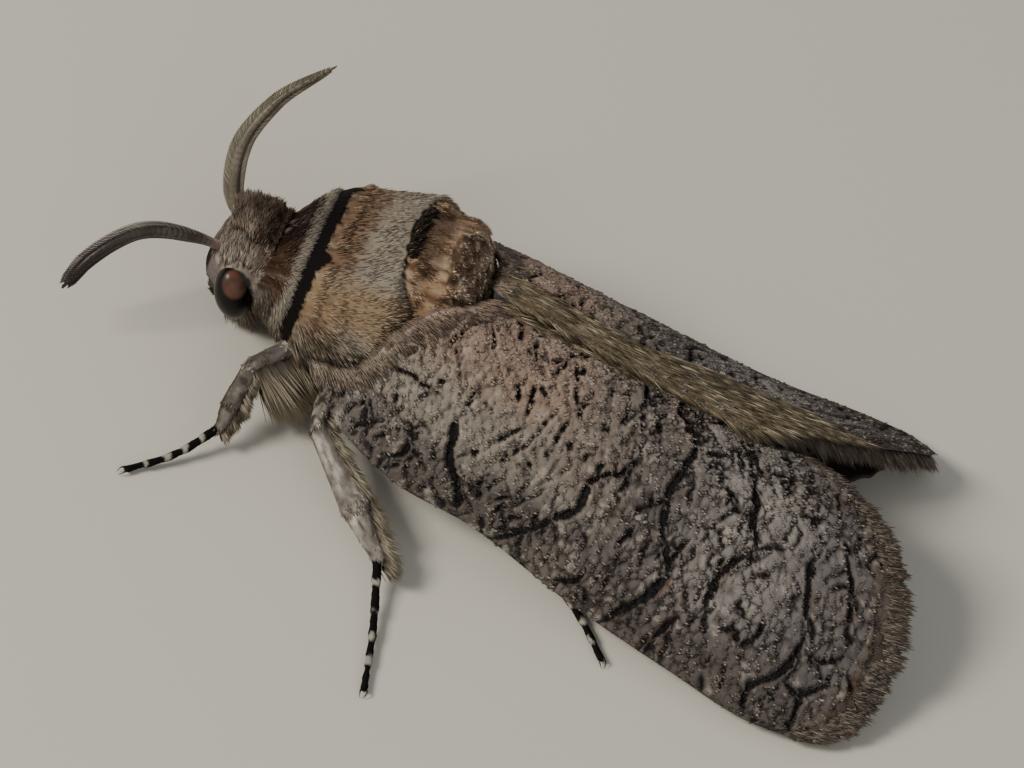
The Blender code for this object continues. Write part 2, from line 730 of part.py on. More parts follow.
def build_leg(pair, side, word, look):
    joints = LEGS[pair][0 if side > 0 else 1]
    hip, knee, ankle, sole, toe = (np.array(p) * (side, 1, 1) for p in joints)
    femur_end, tibia_start = mitre(hip, knee, ankle)
    tibia_end, tarsus_start = mitre(knee, ankle, sole)
    name = f"leg_{pair}_{word}_"

    steps = np.linspace(0, 1, 5)[:, None]
    radii = FEMUR_RADII[pair] * np.array([1.0, 1.05, 1.0, 0.85, 0.7])
    rings = tube_rings(hip + (knee - hip) * steps, radii, 8, flat_end=femur_end)
    femur = body_of(name + "femur", rings)
    hairs = leg_locks(FEMUR_LOCKS[pair], hip, knee, side, FEMUR_RADII[pair])
    if hairs:
        apply_boolean(femur, "UNION", hairs)
    apply_boolean(femur, "DIFFERENCE", thorax_room())
    finish_node(femur, look)

    thick, thin = TIBIA_RADII[pair][1], TIBIA_RADII[pair][0]
    steps = np.linspace(0, 1, 7)
    radii = np.interp(steps, [0, 0.6, 0.85, 1], [thin, thick, thick, 0.3])
    path = knee + (ankle - knee) * steps[:, None]
    rings = tube_rings(path, radii, 8, TIBIA_THIN[pair], flat_start=tibia_start, flat_end=tibia_end)
    tibia = body_of(name + "tibia", rings)
    apply_boolean(tibia, "UNION", leg_locks(TIBIA_LOCKS[pair], knee, ankle, side, thin))
    finish_node(tibia, look)

    steps = np.linspace(0, 1, TARSUS_STEPS)
    path = spline([ankle, sole, toe], steps)
    radii = TARSUS_RADIUS * np.where(np.arange(TARSUS_STEPS) % 3 == 0, 0.86, 1.0)
    radii[-1] *= 0.6
    rings = tube_rings(path, radii, 6, flat_start=tarsus_start)
    for ring in rings:
        ring[:, 2] = np.maximum(ring[:, 2], 0.0)
    finish_node(body_of(name + "tarsus", rings), look)


# The whole moth

def build_moth():
    for old in list(bpy.data.objects):
        bpy.data.objects.remove(old)
    grey = material("Grey scales", GREY_SCALES, 0.8)
    brown = material("Brown hair scales", BROWN_SCALES, 0.8)
    black = material("Black scales", BLACK_SCALES, 0.7)
    olive = material("Olive brown antennae", OLIVE_SCALES, 0.6)
    eye = material("Eye cornea", EYE_COLOUR, 0.15)
    build_head(brown)
    build_eyes(eye)
    build_palps(black)
    build_antennae(olive)
    build_trunk(grey, brown)
    for word, wing in (("left", LEFT_WING), ("right", RIGHT_WING)):
        build_forewing("forewing_" + word, wing, grey)
        build_hindwing("hindwing_" + word, wing, brown)
    for pair in LEGS:
        for side, word in ((1, "left"), (-1, "right")):
            build_leg(pair, side, word, black)


build_moth()
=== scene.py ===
"""The looks of a culama suffusca moth at rest: skin, scales, hairs, eyes, feelers, wings and legs.

Sizes and places are in millimetres, from the floor under the wing roots, with the head towards
-Y, +X the moth's left and +Z up. finish_piece turns them into the frame's metres.
"""

import math

import bpy
import numpy as np
from mathutils import Matrix, Vector
from mathutils.kdtree import KDTree


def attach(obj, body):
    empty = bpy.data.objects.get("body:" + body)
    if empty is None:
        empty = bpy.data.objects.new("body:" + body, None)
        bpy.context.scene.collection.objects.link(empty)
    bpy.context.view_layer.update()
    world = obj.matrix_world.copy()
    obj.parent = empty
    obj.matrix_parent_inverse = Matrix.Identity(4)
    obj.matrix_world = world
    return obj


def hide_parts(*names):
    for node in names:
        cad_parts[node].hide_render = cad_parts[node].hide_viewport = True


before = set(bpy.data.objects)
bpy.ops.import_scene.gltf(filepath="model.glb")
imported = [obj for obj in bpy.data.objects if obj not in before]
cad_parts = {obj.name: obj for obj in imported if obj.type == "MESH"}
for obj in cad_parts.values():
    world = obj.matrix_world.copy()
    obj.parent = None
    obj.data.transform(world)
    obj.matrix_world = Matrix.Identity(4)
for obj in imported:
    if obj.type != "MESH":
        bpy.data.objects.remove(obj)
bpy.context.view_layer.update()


# Skin. Under its scales a moth's head, trunk and legs are one thin horny shell. It is lofted
# from rings and cones, joined, and remeshed so that no seam shows. The coat grows from it.

MM = 0.001
MIDDLE_X = 2.95
MIDDLE_Y = 0.25
chance = np.random.default_rng(5180)

# Rings of the trunk, from the face to the tip of the abdomen, inside the depth of the coat:
# (y, half width, middle height, reach up, reach down).
TRUNK_ROWS = [
    (-10.66, 0.42, 2.4, 0.5, 0.5),
    (-10.45, 0.98, 2.5, 1.0, 1.0),
    (-9.95, 1.42, 2.7, 1.42, 1.4),
    (-9.3, 1.55, 2.85, 1.58, 1.6),
    (-8.75, 1.5, 2.95, 1.58, 1.62),
    (-8.4, 1.72, 3.1, 1.8, 1.62),
    (-8.1, 2.02, 3.25, 2.12, 1.88),
    (-7.75, 2.5, 3.35, 2.42, 2.15),
    (-7.48, 2.68, 3.42, 2.5, 2.3),
    (-7.2, 2.86, 3.5, 2.64, 2.4),
    (-6.9, 3.02, 3.5, 2.8, 2.5),
    (-6.0, 3.24, 3.5, 3.05, 2.65),
    (-5.1, 3.34, 3.55, 3.38, 2.7),
    (-4.6, 3.4, 3.55, 3.62, 2.7),
    (-4.25, 3.4, 3.55, 3.62, 2.7),
    (-3.9, 3.36, 3.52, 3.46, 2.65),
    (-3.55, 3.3, 3.5, 3.36, 2.6),
    (-3.15, 3.26, 3.5, 3.46, 2.5),
    (-2.7, 3.12, 3.42, 3.36, 2.35),
    (-2.3, 2.8, 3.35, 3.04, 2.1),
    (-1.95, 2.3, 3.15, 2.5, 1.8),
    (-1.5, 1.5, 2.35, 1.4, 1.5),
    (2.0, 1.28, 2.15, 1.22, 1.32),
    (6.0, 1.12, 2.0, 1.08, 1.18),
    (9.0, 0.95, 1.95, 0.78, 0.82),
    (10.3, 0.3, 1.9, 0.3, 0.3),
]
# The mound under the tuft on the crown: its middle and radii.
CROWN_MOUND = ((0.0, -9.66, 3.85), (0.72, 0.72, 0.72))

# Leg joints, as hip, knee, ankle, sole and toe, all given as on the left. The legs on the right
# are tucked closer to the body.
LEGS = {
    "fore": (
        [(2.2, -6.9, 1.9), (3.9, -7.85, 2.25), (5.65, -7.95, 0.95), (6.9, -8.8, 0.42), (8.2, -10.1, 0.175)],
        [(2.2, -6.9, 1.9), (3.2, -7.85, 2.0), (4.0, -8.0, 0.95), (4.1, -8.7, 0.42), (3.7, -9.9, 0.175)],
    ),
    "mid": (
        [(2.4, -5.3, 1.2), (4.7, -5.15, 1.75), (7.8, -1.7, 0.75), (10.2, -0.9, 0.3), (12.5, -0.4, 0.175)],
        [(2.4, -5.3, 1.2), (4.1, -4.8, 1.6), (5.4, -2.0, 0.75), (5.9, -0.6, 0.3), (6.3, 1.2, 0.175)],
    ),
    "hind": (
        [(2.0, -3.0, 1.2), (3.4, -0.6, 0.95), (5.2, 3.4, 0.45), (6.3, 5.0, 0.22), (7.5, 6.1, 0.175)],
        [(2.0, -3.0, 1.2), (3.3, -0.6, 0.95), (4.4, 3.2, 0.45), (4.8, 4.9, 0.22), (5.1, 6.6, 0.175)],
    ),
}
FEMUR_RADIUS = {"fore": 0.36, "mid": 0.36, "hind": 0.3}
TIBIA_RADII = {"fore": (0.26, 0.36), "mid": (0.34, 0.52), "hind": (0.24, 0.3)}
TIBIA_THIN = {"fore": 0.7, "mid": 0.6, "hind": 0.7}
TARSUS_RADIUS = 0.185
TARSOMERES = 5
# A leg is a thigh, a shin in two stretches, and its foot's short joints.
LIMBS_PER_LEG = 3 + TARSOMERES
SKIN_VOXEL = 0.1
# Where the neck meets the collar, and where the thorax meets the abdomen.
NECK = -8.72
WAIST = -1.5


def unit(vectors):
    """Each vector with its length made 1."""
    return vectors / np.linalg.norm(vectors, axis=-1, keepdims=True)


def spline(points, amounts):
    """Points at these amounts, 0 to 1, along a smooth curve through the given points."""
    points = np.asarray(points, float)
    amounts = np.asarray(amounts, float)
    steps = np.linalg.norm(np.diff(points, axis=0), axis=1)
    knots = np.concatenate([[0.0], np.cumsum(steps)]) / steps.sum()
    slopes = np.gradient(points, knots, axis=0)
    index = np.clip(np.searchsorted(knots, amounts, side="right") - 1, 0, len(knots) - 2)
    span = (knots[index + 1] - knots[index])[..., None]
    t = (amounts[..., None] - knots[index][..., None]) / span
    start = (2 * t**3 - 3 * t**2 + 1) * points[index]
    leaving = (t**3 - 2 * t**2 + t) * span * slopes[index]
    end = (3 * t**2 - 2 * t**3) * points[index + 1]
    arriving = (t**3 - t**2) * span * slopes[index + 1]
    return start + leaving + end + arriving


def body_axis(y):
    """How far to its left the body behind the thorax has swung."""
    return 0.06 * np.maximum(0.0, np.asarray(y) + 2.0)


def deselect():
    for each in bpy.context.selected_objects:
        each.select_set(False)


def loft(rows, sides):
    """A closed body: a disc that is pulled out and resized from row to row."""
    deselect()
    bpy.ops.mesh.primitive_circle_add(
        vertices=sides, radius=1, fill_type="NGON", rotation=(math.pi / 2, 0, 0)
    )
    made = bpy.context.active_object
    bpy.ops.object.transform_apply(location=True, rotation=True, scale=True)
    bpy.ops.object.mode_set(mode="EDIT")
    bpy.ops.mesh.select_all(action="SELECT")
    place = Vector((0, 0, 0))
    before = (1.0, 1.0)
    for k, (y, width, middle, up, down) in enumerate(rows):
        centre = Vector((float(body_axis(y)), y, middle + (up - down) / 2))
        height = (up + down) / 2
        if k == 0:
            bpy.ops.transform.translate(value=centre - place)
        else:
            bpy.ops.mesh.extrude_region_move(TRANSFORM_OT_translate={"value": centre - place})
        bpy.ops.transform.resize(
            value=(width / before[0], 1, height / before[1]), center_override=centre
        )
        place = centre
        before = (width, height)
    bpy.ops.mesh.select_all(action="SELECT")
    bpy.ops.mesh.normals_make_consistent(inside=False)
    bpy.ops.object.mode_set(mode="OBJECT")
    return made


def across_limb(start, end):
    """The way along a limb, the level way across it, and the way over it."""
    lie = unit(np.subtract(end, start))
    side = unit(np.cross(lie, (0, 0, 1)))
    return lie, side, np.cross(side, lie)


def cone(start, end, first, last, thin=1.0, sides=16):
    """A cone between two points, narrowed by thin from top to bottom, a little longer than them."""
    deselect()
    lie, side, over = across_limb(start, end)
    length = float(np.linalg.norm(np.subtract(end, start)))
    bpy.ops.mesh.primitive_cone_add(vertices=sides, radius1=first, radius2=last, depth=length * 1.04)
    made = bpy.context.active_object
    turn = Matrix((side, over, lie)).transposed()
    made.matrix_world = (
        Matrix.Translation((np.array(start) + end) / 2)
        @ turn.to_4x4()
        @ Matrix.Diagonal((1, thin, 1, 1))
    )
    bpy.ops.object.transform_apply(location=True, rotation=True, scale=True)
    return made


def ball(centre, radii):
    """A rounded lump, where a joint is."""
    deselect()
    bpy.ops.mesh.primitive_uv_sphere_add(segments=24, ring_count=16, radius=1, location=centre)
    made = bpy.context.active_object
    made.scale = radii
    bpy.ops.object.transform_apply(location=True, rotation=True, scale=True)
    return made


def leg_limbs():
    """Every stretch of leg, as (pair, side, part, start, end, first radius, last radius, thin)."""
    limbs = []
    for pair, (left, right) in LEGS.items():
        for side, joints in ((1, left), (-1, right)):
            hip, knee, ankle, sole, toe = (np.array(p) * (side, 1, 1) for p in joints)
            thick = FEMUR_RADIUS[pair]
            thin_end, thick_end = TIBIA_RADII[pair]
            widest = knee + (ankle - knee) * 0.62
            flat = TIBIA_THIN[pair]
            limbs.append((pair, side, "femur", hip, knee, thick, thick * 0.75, 1.0))
            limbs.append((pair, side, "tibia", knee, widest, thin_end, thick_end, flat))
            limbs.append((pair, side, "tibia", widest, ankle, thick_end, thin_end * 0.8, flat))
            path = spline([ankle, sole, toe], np.linspace(0, 1, TARSOMERES + 1))
            for k in range(TARSOMERES):
                radius = TARSUS_RADIUS * (1 - 0.05 * k)
                limbs.append((pair, side, "tarsus", path[k], path[k + 1], radius * 0.78, radius, 0.9))
    return limbs


def numbers_of(collection, name, width, kind=np.float32):
    """One property of every vertex, corner or triangle of a mesh."""
    found = np.empty(len(collection) * width, kind)
    collection.foreach_get(name, found)
    return found.reshape(-1, width) if kind is np.int32 else found.reshape(-1, width).astype(float)


def join(pieces, name):
    """Makes one object of several meshes."""
    deselect()
    for piece in pieces:
        piece.select_set(True)
    bpy.context.view_layer.objects.active = pieces[0]
    bpy.ops.object.join()
    made = bpy.context.active_object
    made.name = name
    return made


def apply_modifier(piece, kind, **settings):
    step = piece.modifiers.new(kind, kind)
    for key, value in settings.items():
        setattr(step, key, value)
    deselect()
    piece.select_set(True)
    bpy.context.view_layer.objects.active = piece
    bpy.ops.object.modifier_apply(modifier=step.name)


def finish_piece(piece, look):
    """Moves a finished piece from millimetres into the frame, with its place in its mesh."""
    piece.data.transform(Matrix.Scale(MM, 4) @ Matrix.Translation((-MIDDLE_X, -MIDDLE_Y, 0)))
    piece.data.materials.clear()
    piece.data.materials.append(look)
    piece.data.shade_smooth()
    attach(piece, "root")


limbs = leg_limbs()
parts = [loft(TRUNK_ROWS, 48), ball(*CROWN_MOUND)]
for pair, side, part, start, end, first, last, thin in limbs:
    parts.append(cone(start, end, first, last, thin))
    if part != "tarsus":
        parts.append(ball(end, (last * 0.95,) * 3))
skin = join(parts, "skin")
apply_modifier(skin, "REMESH", mode="VOXEL", voxel_size=SKIN_VOXEL)
apply_modifier(skin, "SMOOTH", factor=0.5, iterations=3)

# The skin is unwrapped, so that each tuft of the coat can be painted at its root's place.
deselect()
skin.select_set(True)
bpy.context.view_layer.objects.active = skin
bpy.ops.object.mode_set(mode="EDIT")
bpy.ops.mesh.select_all(action="SELECT")
bpy.ops.uv.smart_project(angle_limit=math.radians(66), island_margin=0.002)
bpy.ops.object.mode_set(mode="OBJECT")
skin.data.uv_layers.active.name = "Unwrap"

skin_points = numbers_of(skin.data.vertices, "co", 3)
skin_normals = numbers_of(skin.data.vertices, "normal", 3)
corner_vertices = numbers_of(skin.data.loops, "vertex_index", 1, np.int32)[:, 0]
skin_places = np.zeros((len(skin_points), 2))
skin_places[corner_vertices] = numbers_of(skin.data.uv_layers["Unwrap"].uv, "vector", 2)
skin.data.calc_loop_triangles()
skin_triangles = numbers_of(skin.data.loop_triangles, "vertices", 3, np.int32)
skin_tints = np.full((len(skin_points), 3), 0.02)


# Coat of the head. Hair-like scales stand up in a dense streaky tuft on the crown, lie flat and
# short on the cheeks, and turn to broad pale plates on the face. Each is a closed tapered blade.

TUFT_PATCH = 0.0015
EYE_MIDDLE = (1.43, -9.37, 2.34)
EYE_RADII = (0.6, 0.62, 1.02)


def linear(hex_colour):
    """A colour written as sRGB hex, as the linear numbers that a shader takes."""
    srgb = np.array([int(hex_colour[k : k + 2], 16) / 255 for k in (1, 3, 5)])
    return np.where(srgb <= 0.04045, srgb / 12.92, ((srgb + 0.055) / 1.055) ** 2.4)


def smooth(value, low, high):
    """From 0 at low to 1 at high, without corners."""
    t = np.clip((value - low) / (high - low), 0, 1)
    return t * t * (3 - 2 * t)


def scrambled(cells):
    """A fixed random number from 0 to 1 for each cell of space."""
    mixed = np.sin(cells @ np.array((127.1, 311.7, 74.7))) * 43758.5453
    return mixed - np.floor(mixed)


def lumps(points, size, seed=0):
    """Smooth noise from -1 to 1, with lumps about size across."""
    q = np.asarray(points, float) / size + 13.7 * (seed + 1)
    cell = np.floor(q)
    f = q - cell
    f = f * f * (3 - 2 * f)
    total = np.zeros(len(q))
    for corner in np.ndindex(2, 2, 2):
        weight = np.prod(np.where(corner, f, 1 - f), axis=1)
        total += weight * scrambled(cell + corner)
    return 2 * total - 1


def mix(first, second, amount):
    """Goes from one colour to the other, each one colour or one for each point."""
    amount = np.asarray(amount)[..., None]
    return first * (1 - amount) + second * amount


def triangle_mesh(name, points, triangles):
    """A mesh from arrays of its points and of each triangle's three corners."""
    mesh = bpy.data.meshes.new(name)
    mesh.vertices.add(len(points))
    mesh.vertices.foreach_set("co", points.astype(np.float32).reshape(-1))
    mesh.loops.add(triangles.size)
    mesh.loops.foreach_set("vertex_index", triangles.astype(np.int32).reshape(-1))
    mesh.polygons.add(len(triangles))
    mesh.polygons.foreach_set("loop_start", np.arange(0, triangles.size, 3, dtype=np.int32))
    mesh.update(calc_edges=True)
    mesh.validate()
    return mesh


def add_tint(mesh, colours):
    """Paints a colour on each point of a mesh, for its material to read."""
    tint = mesh.attributes.new("tint", "FLOAT_COLOR", "POINT")
    whole = np.concatenate([np.clip(colours, 0, 1), np.ones((len(colours), 1))], 1)
    tint.data.foreach_set("color", whole.astype(np.float32).reshape(-1))


def blades(name, roots, lies, outs, lengths, widths, bends, places, root_tints, tip_tints):
    """Many closed tapered blades, joined: each leaves its root along its lie and bends back down.

    A blade has a point at each end and a three-cornered waist between them. On its map it is a
    small diamond round its root's place.
    """
    count = len(roots)
    waist = 0.56
    lies = unit(lies)
    sides = unit(np.cross(lies, outs) + 1e-6)
    overs = np.cross(sides, lies)
    middle = roots + lies * (lengths * waist)[:, None] - outs * (bends * lengths * waist**2)[:, None]
    across = sides * (widths / 2)[:, None]
    through = overs * (widths * 0.22)[:, None]
    tips = roots + lies * lengths[:, None] - outs * (bends * lengths)[:, None]
    corners = [roots, middle + across - through, middle - across - through, middle + through, tips]
    between = mix(root_tints, tip_tints, np.full(count, waist))
    tints = [root_tints, between, between, between, tip_tints]
    spots = np.array([(0, -1), (1, 0), (-1, 0), (0, 0.3), (0, 1)])
    faces = np.array([(0, 1, 3), (0, 3, 2), (0, 2, 1), (1, 4, 3), (3, 4, 2), (2, 4, 1)])
    points = np.stack(corners, 1).reshape(-1, 3)
    triangles = (faces[None] + np.arange(count)[:, None, None] * 5).reshape(-1, 3)
    patch_map = (places[:, None] + spots * TUFT_PATCH).reshape(-1, 2)
    mesh = triangle_mesh(name, points, triangles)
    add_tint(mesh, np.stack(tints, 1).reshape(-1, 3))
    layer = mesh.uv_layers.new(name="OFBake")
    layer.uv.foreach_set("vector", patch_map[triangles.reshape(-1)].astype(np.float32).reshape(-1))
    made = bpy.data.objects.new(name, mesh)
    bpy.context.collection.objects.link(made)
    return made


def add_node(tree, kind, settings=None, links=None):
    """Adds a shader node. A setting is a socket's identifier or one of the node's own options."""
    node = tree.nodes.new(kind)
    for key, value in (settings or {}).items():
        found = [s for s in node.inputs if s.identifier == key]
        if found:
            found[0].default_value = value
        else:
            setattr(node, key, value)
    for key, source in (links or {}).items():
        tree.links.new(source, next(s for s in node.inputs if s.identifier == key))
    return node


def tinted_material(name, roughness, grain, mottling, depth=0.0, specular=0.35):
    """A finish whose colour is painted on its points, mottled and roughened at one grain size."""
    made = bpy.data.materials.new(name)
    made.use_nodes = True
    tree = made.node_tree
    tree.nodes.clear()
    place = add_node(tree, "ShaderNodeTexCoord").outputs["Object"]
    tint = add_node(tree, "ShaderNodeAttribute", {"attribute_name": "tint"}).outputs["Color"]
    mottle = add_node(
        tree, "ShaderNodeTexNoise", {"Scale": 1 / (grain * MM), "Detail": 3.0}, {"Vector": place}
    ).outputs["Fac"]
    shade = add_node(
        tree,
        "ShaderNodeMapRange",
        {"From Min": 0.3, "From Max": 0.7, "To Min": 1 - mottling, "To Max": 1 + mottling},
        {"Value": mottle},
    ).outputs["Result"]
    colour = add_node(
        tree, "ShaderNodeVectorMath", {"operation": "SCALE"}, {"Vector": tint, "Scale": shade}
    ).outputs["Vector"]
    shader = add_node(
        tree,
        "ShaderNodeBsdfPrincipled",
        {"Roughness": roughness, "Specular IOR Level": specular},
        {"Base Color": colour},
    )
    if depth:
        bump = add_node(
            tree, "ShaderNodeBump", {"Strength": 1.0, "Distance": depth * MM}, {"Height": mottle}
        )
        tree.links.new(bump.outputs["Normal"], shader.inputs["Normal"])
    add_node(tree, "ShaderNodeOutputMaterial", {}, {"Surface": shader.outputs["BSDF"]})
    return made


# Hair scales are flat chitin hairs: matt, with a weak gloss along them.
HAIR = tinted_material("Matt hair scales", 0.6, 0.1, 0.08, specular=0.25)


def off_leg(points):
    """The nearest stretch of leg to each point, how far along it is, and how far off its middle."""
    best = np.full(len(points), 9.0)
    index = np.zeros(len(points), int)
    along = np.zeros(len(points))
    for k, (_, _, _, start, end, first, last, _) in enumerate(limbs):
        run = end - start
        t = np.clip((points - start) @ run / (run @ run), 0, 1)
        off = np.linalg.norm(points - start - t[:, None] * run, axis=1) / (first + (last - first) * t)
        nearer = off < best
        best[nearer] = off[nearer]
        index[nearer] = k
        along[nearer] = t[nearer]
    return index, along, best


def off_eye(points):
    """How far points are from the middle of the nearer eye, where its edge is 1."""
    folded = np.abs(points[:, :1])
    away = np.concatenate([folded, points[:, 1:]], 1) - EYE_MIDDLE
    return np.linalg.norm(away / EYE_RADII, axis=1)


def scatter(count, weights):
    """Random places on the skin, more where weights says so, with their ways out and unwrap places."""
    a, b, c = (skin_points[skin_triangles[:, k]] for k in range(3))
    area = np.linalg.norm(np.cross(b - a, c - a), axis=1) / 2
    share = area * weights((a + b + c) / 3)
    pick = chance.choice(len(skin_triangles), count, p=share / share.sum())
    p, q = chance.random((2, count))
    fold = p + q > 1
    p[fold], q[fold] = 1 - p[fold], 1 - q[fold]
    parts = np.stack([1 - p - q, p, q], 1)[..., None]
    corners = skin_triangles[pick]
    roots = (skin_points[corners] * parts).sum(1)
    outs = unit((skin_normals[corners] * parts).sum(1))
    return roots, outs, skin_places[corners[:, 0]]


def grow(name, count, weights, coat, look):
    """One piece of the coat, rooted a little under the skin, and the skin painted to match it.

    Its coat function gives each hair its lie, length, width, lift from the skin, root and tip
    colours, and where they differ from the usual, its bend and how far it stands clear of the skin.
    """
    roots, outs, places = scatter(count, weights)
    made = {"stand": np.zeros(count), "bend": np.full(count, 0.1)} | coat(roots, outs)
    lie = made["lie"]
    flat = lie - outs * ((lie * outs).sum(1) * (1 - made["stand"]))[:, None]
    stray = chance.normal(0, 0.09, (count, 3))
    lift = made["lift"] * chance.uniform(0.6, 1.4, count)
    lies = unit(unit(flat) + stray + outs * lift[:, None])
    length = made["length"] * chance.uniform(0.85, 1.12, count)
    shade = 1 + 0.11 * chance.normal(0, 1, (count, 1)).clip(-2, 2)
    piece = blades(
        name, roots - outs * 0.05, lies, outs, length, made["width"], made["bend"], places,
        made["root"] * shade, made["tip"] * shade,
    )
    finish_piece(piece, look)
    inside = weights(skin_points) > 0
    skin_tints[inside] = coat(skin_points[inside], skin_normals[inside])["root"]


def trunk_between(low, high):
    """Picks the trunk between two places along it, with fewer hairs underneath."""
    def weights(points):
        _, _, off = off_leg(points)
        inside = (points[:, 1] >= low) & (points[:, 1] < high) & (off > 1.35)
        return inside * (off_eye(points) > 1.04) * (0.45 + 0.55 * smooth(points[:, 2], 0.9, 2.2))
    return weights


CROWN_GREY = linear("#96897a")
CROWN_BROWN = linear("#5e4937")
STREAK_PALE = linear("#c2b6a6")
STREAK_DARK = linear("#261c16")
CHEEK_GREY = linear("#72655a")
CHEEK_BROWN = linear("#362920")
FACE_MAUVE = linear("#6f655f")
FACE_BLACK = linear("#14100e")
ORBIT_PALE = linear("#a99d8c")


def head_coat(points, outs):
    """How the head's hairs lie, how long and wide they are, and their colours, by their roots."""
    x, y, z = points.T
    count = len(points)
    eye = off_eye(points)
    streak = lumps(np.stack([x, y + 0.3 * z, 0.14 * z], 1), 0.085, 2)
    broad = lumps(np.stack([x, y + 0.3 * z, 0.3 * z], 1), 0.34, 3)

    # The cheeks, whose hairs lie back flat.
    lie = np.stack([np.zeros(count), np.ones(count), np.full(count, -0.25)], 1)
    length = np.full(count, 0.42)
    lift = np.full(count, 0.16)
    colour = mix(CHEEK_GREY, CHEEK_BROWN, smooth(broad, -0.2, 0.7) * 0.7)
    colour = mix(colour, STREAK_PALE, smooth(streak, 0.3, 0.9) * 0.45)
    root = colour * 0.55
    tip = colour

    # The tuft on the crown stands up in pale and dark streaks, shorter towards the neck.
    crown = smooth(z, 2.85, 3.05) * smooth(y, -10.55, -10.4)
    back = smooth(y, -9.75, -8.85)
    up = np.stack([0.15 * x + 0.1 * broad, -0.36 + 0.5 * back, np.ones(count)], 1)
    lie = np.where(crown[:, None] > 0.3, up, lie)
    tall = 0.74 + 0.1 * broad + 0.12 * lumps(points, 0.12, 5) - 0.42 * smooth(y, -9.25, -8.85)
    length = np.where(crown > 0.3, tall, length)
    lift = np.where(crown > 0.3, 0.06, lift)
    brown = np.clip(smooth(z, 3.35, 4.3) * 0.75 + 0.35 * back + 0.3 * broad, 0, 1)
    colour = mix(CROWN_GREY, CROWN_BROWN, brown)
    colour = mix(colour, STREAK_PALE, smooth(streak, 0.15, 0.7) * (0.75 - 0.4 * brown))
    colour = mix(colour, STREAK_DARK, smooth(streak, -0.1, -0.6) * 0.75)
    root = mix(root, colour * 0.6, crown)
    tip = mix(tip, mix(colour, STREAK_DARK, smooth(z, 4.15, 4.6) * 0.6), crown)

    # The face has short broad plates, pale round the eye.
    near = smooth(eye, 1.3, 1.12)
    front = smooth(y, -9.5, -9.8) * smooth(z, 3.05, 2.9)
    down = np.stack([np.zeros(count), np.full(count, 0.1), np.full(count, -1.0)], 1)
    lie = np.where(front[:, None] > 0.3, down, lie)
    length = np.where(front > 0.3, 0.2, length)
    lift = np.where(front > 0.3, 0.12, lift)
    root = mix(root, FACE_MAUVE * 0.8, front)
    tip = mix(tip, mix(FACE_MAUVE, ORBIT_PALE, smooth(streak, 0.0, 0.8) * 0.5), front)
    tip = mix(tip, ORBIT_PALE, near * smooth(z, 3.3, 2.9) * 0.8)
    length = np.where((near > 0.3) & (front < 0.3) & (z < 3.0), 0.26, length)
    # Long hairs hang below the head, and the face's edges are black.
    low = smooth(z, 2.0, 1.6) * smooth(y, -9.85, -9.6)
    hang = np.stack([np.zeros(count), np.full(count, 0.35), np.full(count, -1.0)], 1)
    lie = np.where(low[:, None] > 0.3, hang, lie)
    length = np.where(low > 0.3, 1.35, length)
    lift = np.where(low > 0.3, 0.3, lift)
    edge = smooth(y, -10.42, -10.52) * smooth(z, 3.0, 2.8)
    edge = np.maximum(edge, smooth(z, 2.05, 1.8) * smooth(y, -9.95, -10.1))
    root = mix(root, FACE_BLACK, edge)
    tip = mix(tip, FACE_BLACK, edge)
    wide = np.where(front > 0.3, 0.065, 0.042)
    return {
        "lie": lie,
        "stand": np.maximum((crown > 0.3) * smooth(z, 3.9, 4.3), 0.8 * low),
        "length": length,
        "width": wide,
        "lift": lift,
        "bend": np.where(crown > 0.3, 0.0, 0.08),
        "root": root,
        "tip": tip,
    }


grow("coat_head", 30500, trunk_between(-11.0, NECK), head_coat, HAIR)


# Coat of the collar. Two shield-shaped flaps of dark and orange hair flare back over the neck,
# with a pale rim. Behind the rim is a band of short black hair.

# The black band's front and rear edges, as (degrees down from the top, y).
BAND_FRONT = [(0, -7.4), (25, -7.38), (47, -7.38), (67, -7.34), (89, -7.36)]
BAND_REAR = [(0, -7.14), (23, -7.12), (47, -7.06), (67, -7.05), (93, -7.08)]
# How far the rim's hairs reach over the front of the band.
RIM_OVERHANG = 0.2
# Where the black band's rear edge juts back, in degrees down from the back's middle line.
SPUR_TURN = 36.0

PATAGIA_DARK = linear("#25140c")
PATAGIA_ORANGE = linear("#503827")
PATAGIA_GREY = linear("#7d7264")
RIM_PALE = linear("#b0a593")
BAND_BLACK = linear("#0b0706")
trunk_rows = np.array(TRUNK_ROWS)


def turn_of(points):
    """How far round the trunk points are, in degrees down from its top on either side."""
    middle = np.interp(points[:, 1], trunk_rows[:, 0], trunk_rows[:, 2])
    side = np.abs(points[:, 0] - body_axis(points[:, 1]))
    return np.degrees(np.arctan2(side, points[:, 2] - middle))


def topward(outs):
    """The way round the trunk towards the middle of its back."""
    way = np.cross(outs, (0.0, 1.0, 0.0))
    way *= np.sign(way[:, 2:3] + 1e-9)
    return way / np.maximum(np.linalg.norm(way, axis=1, keepdims=True), 0.05)


def round_trunk(points, turn, stretch):
    """Coordinates along and round the trunk, for streaks that run along it."""
    return np.stack([points[:, 1] / stretch, np.radians(turn) * 3.3, np.zeros(len(points))], 1)


def band_front(turn):
    """Where the black band begins, by degrees down from the top."""
    return np.interp(turn, *np.array(BAND_FRONT).T)


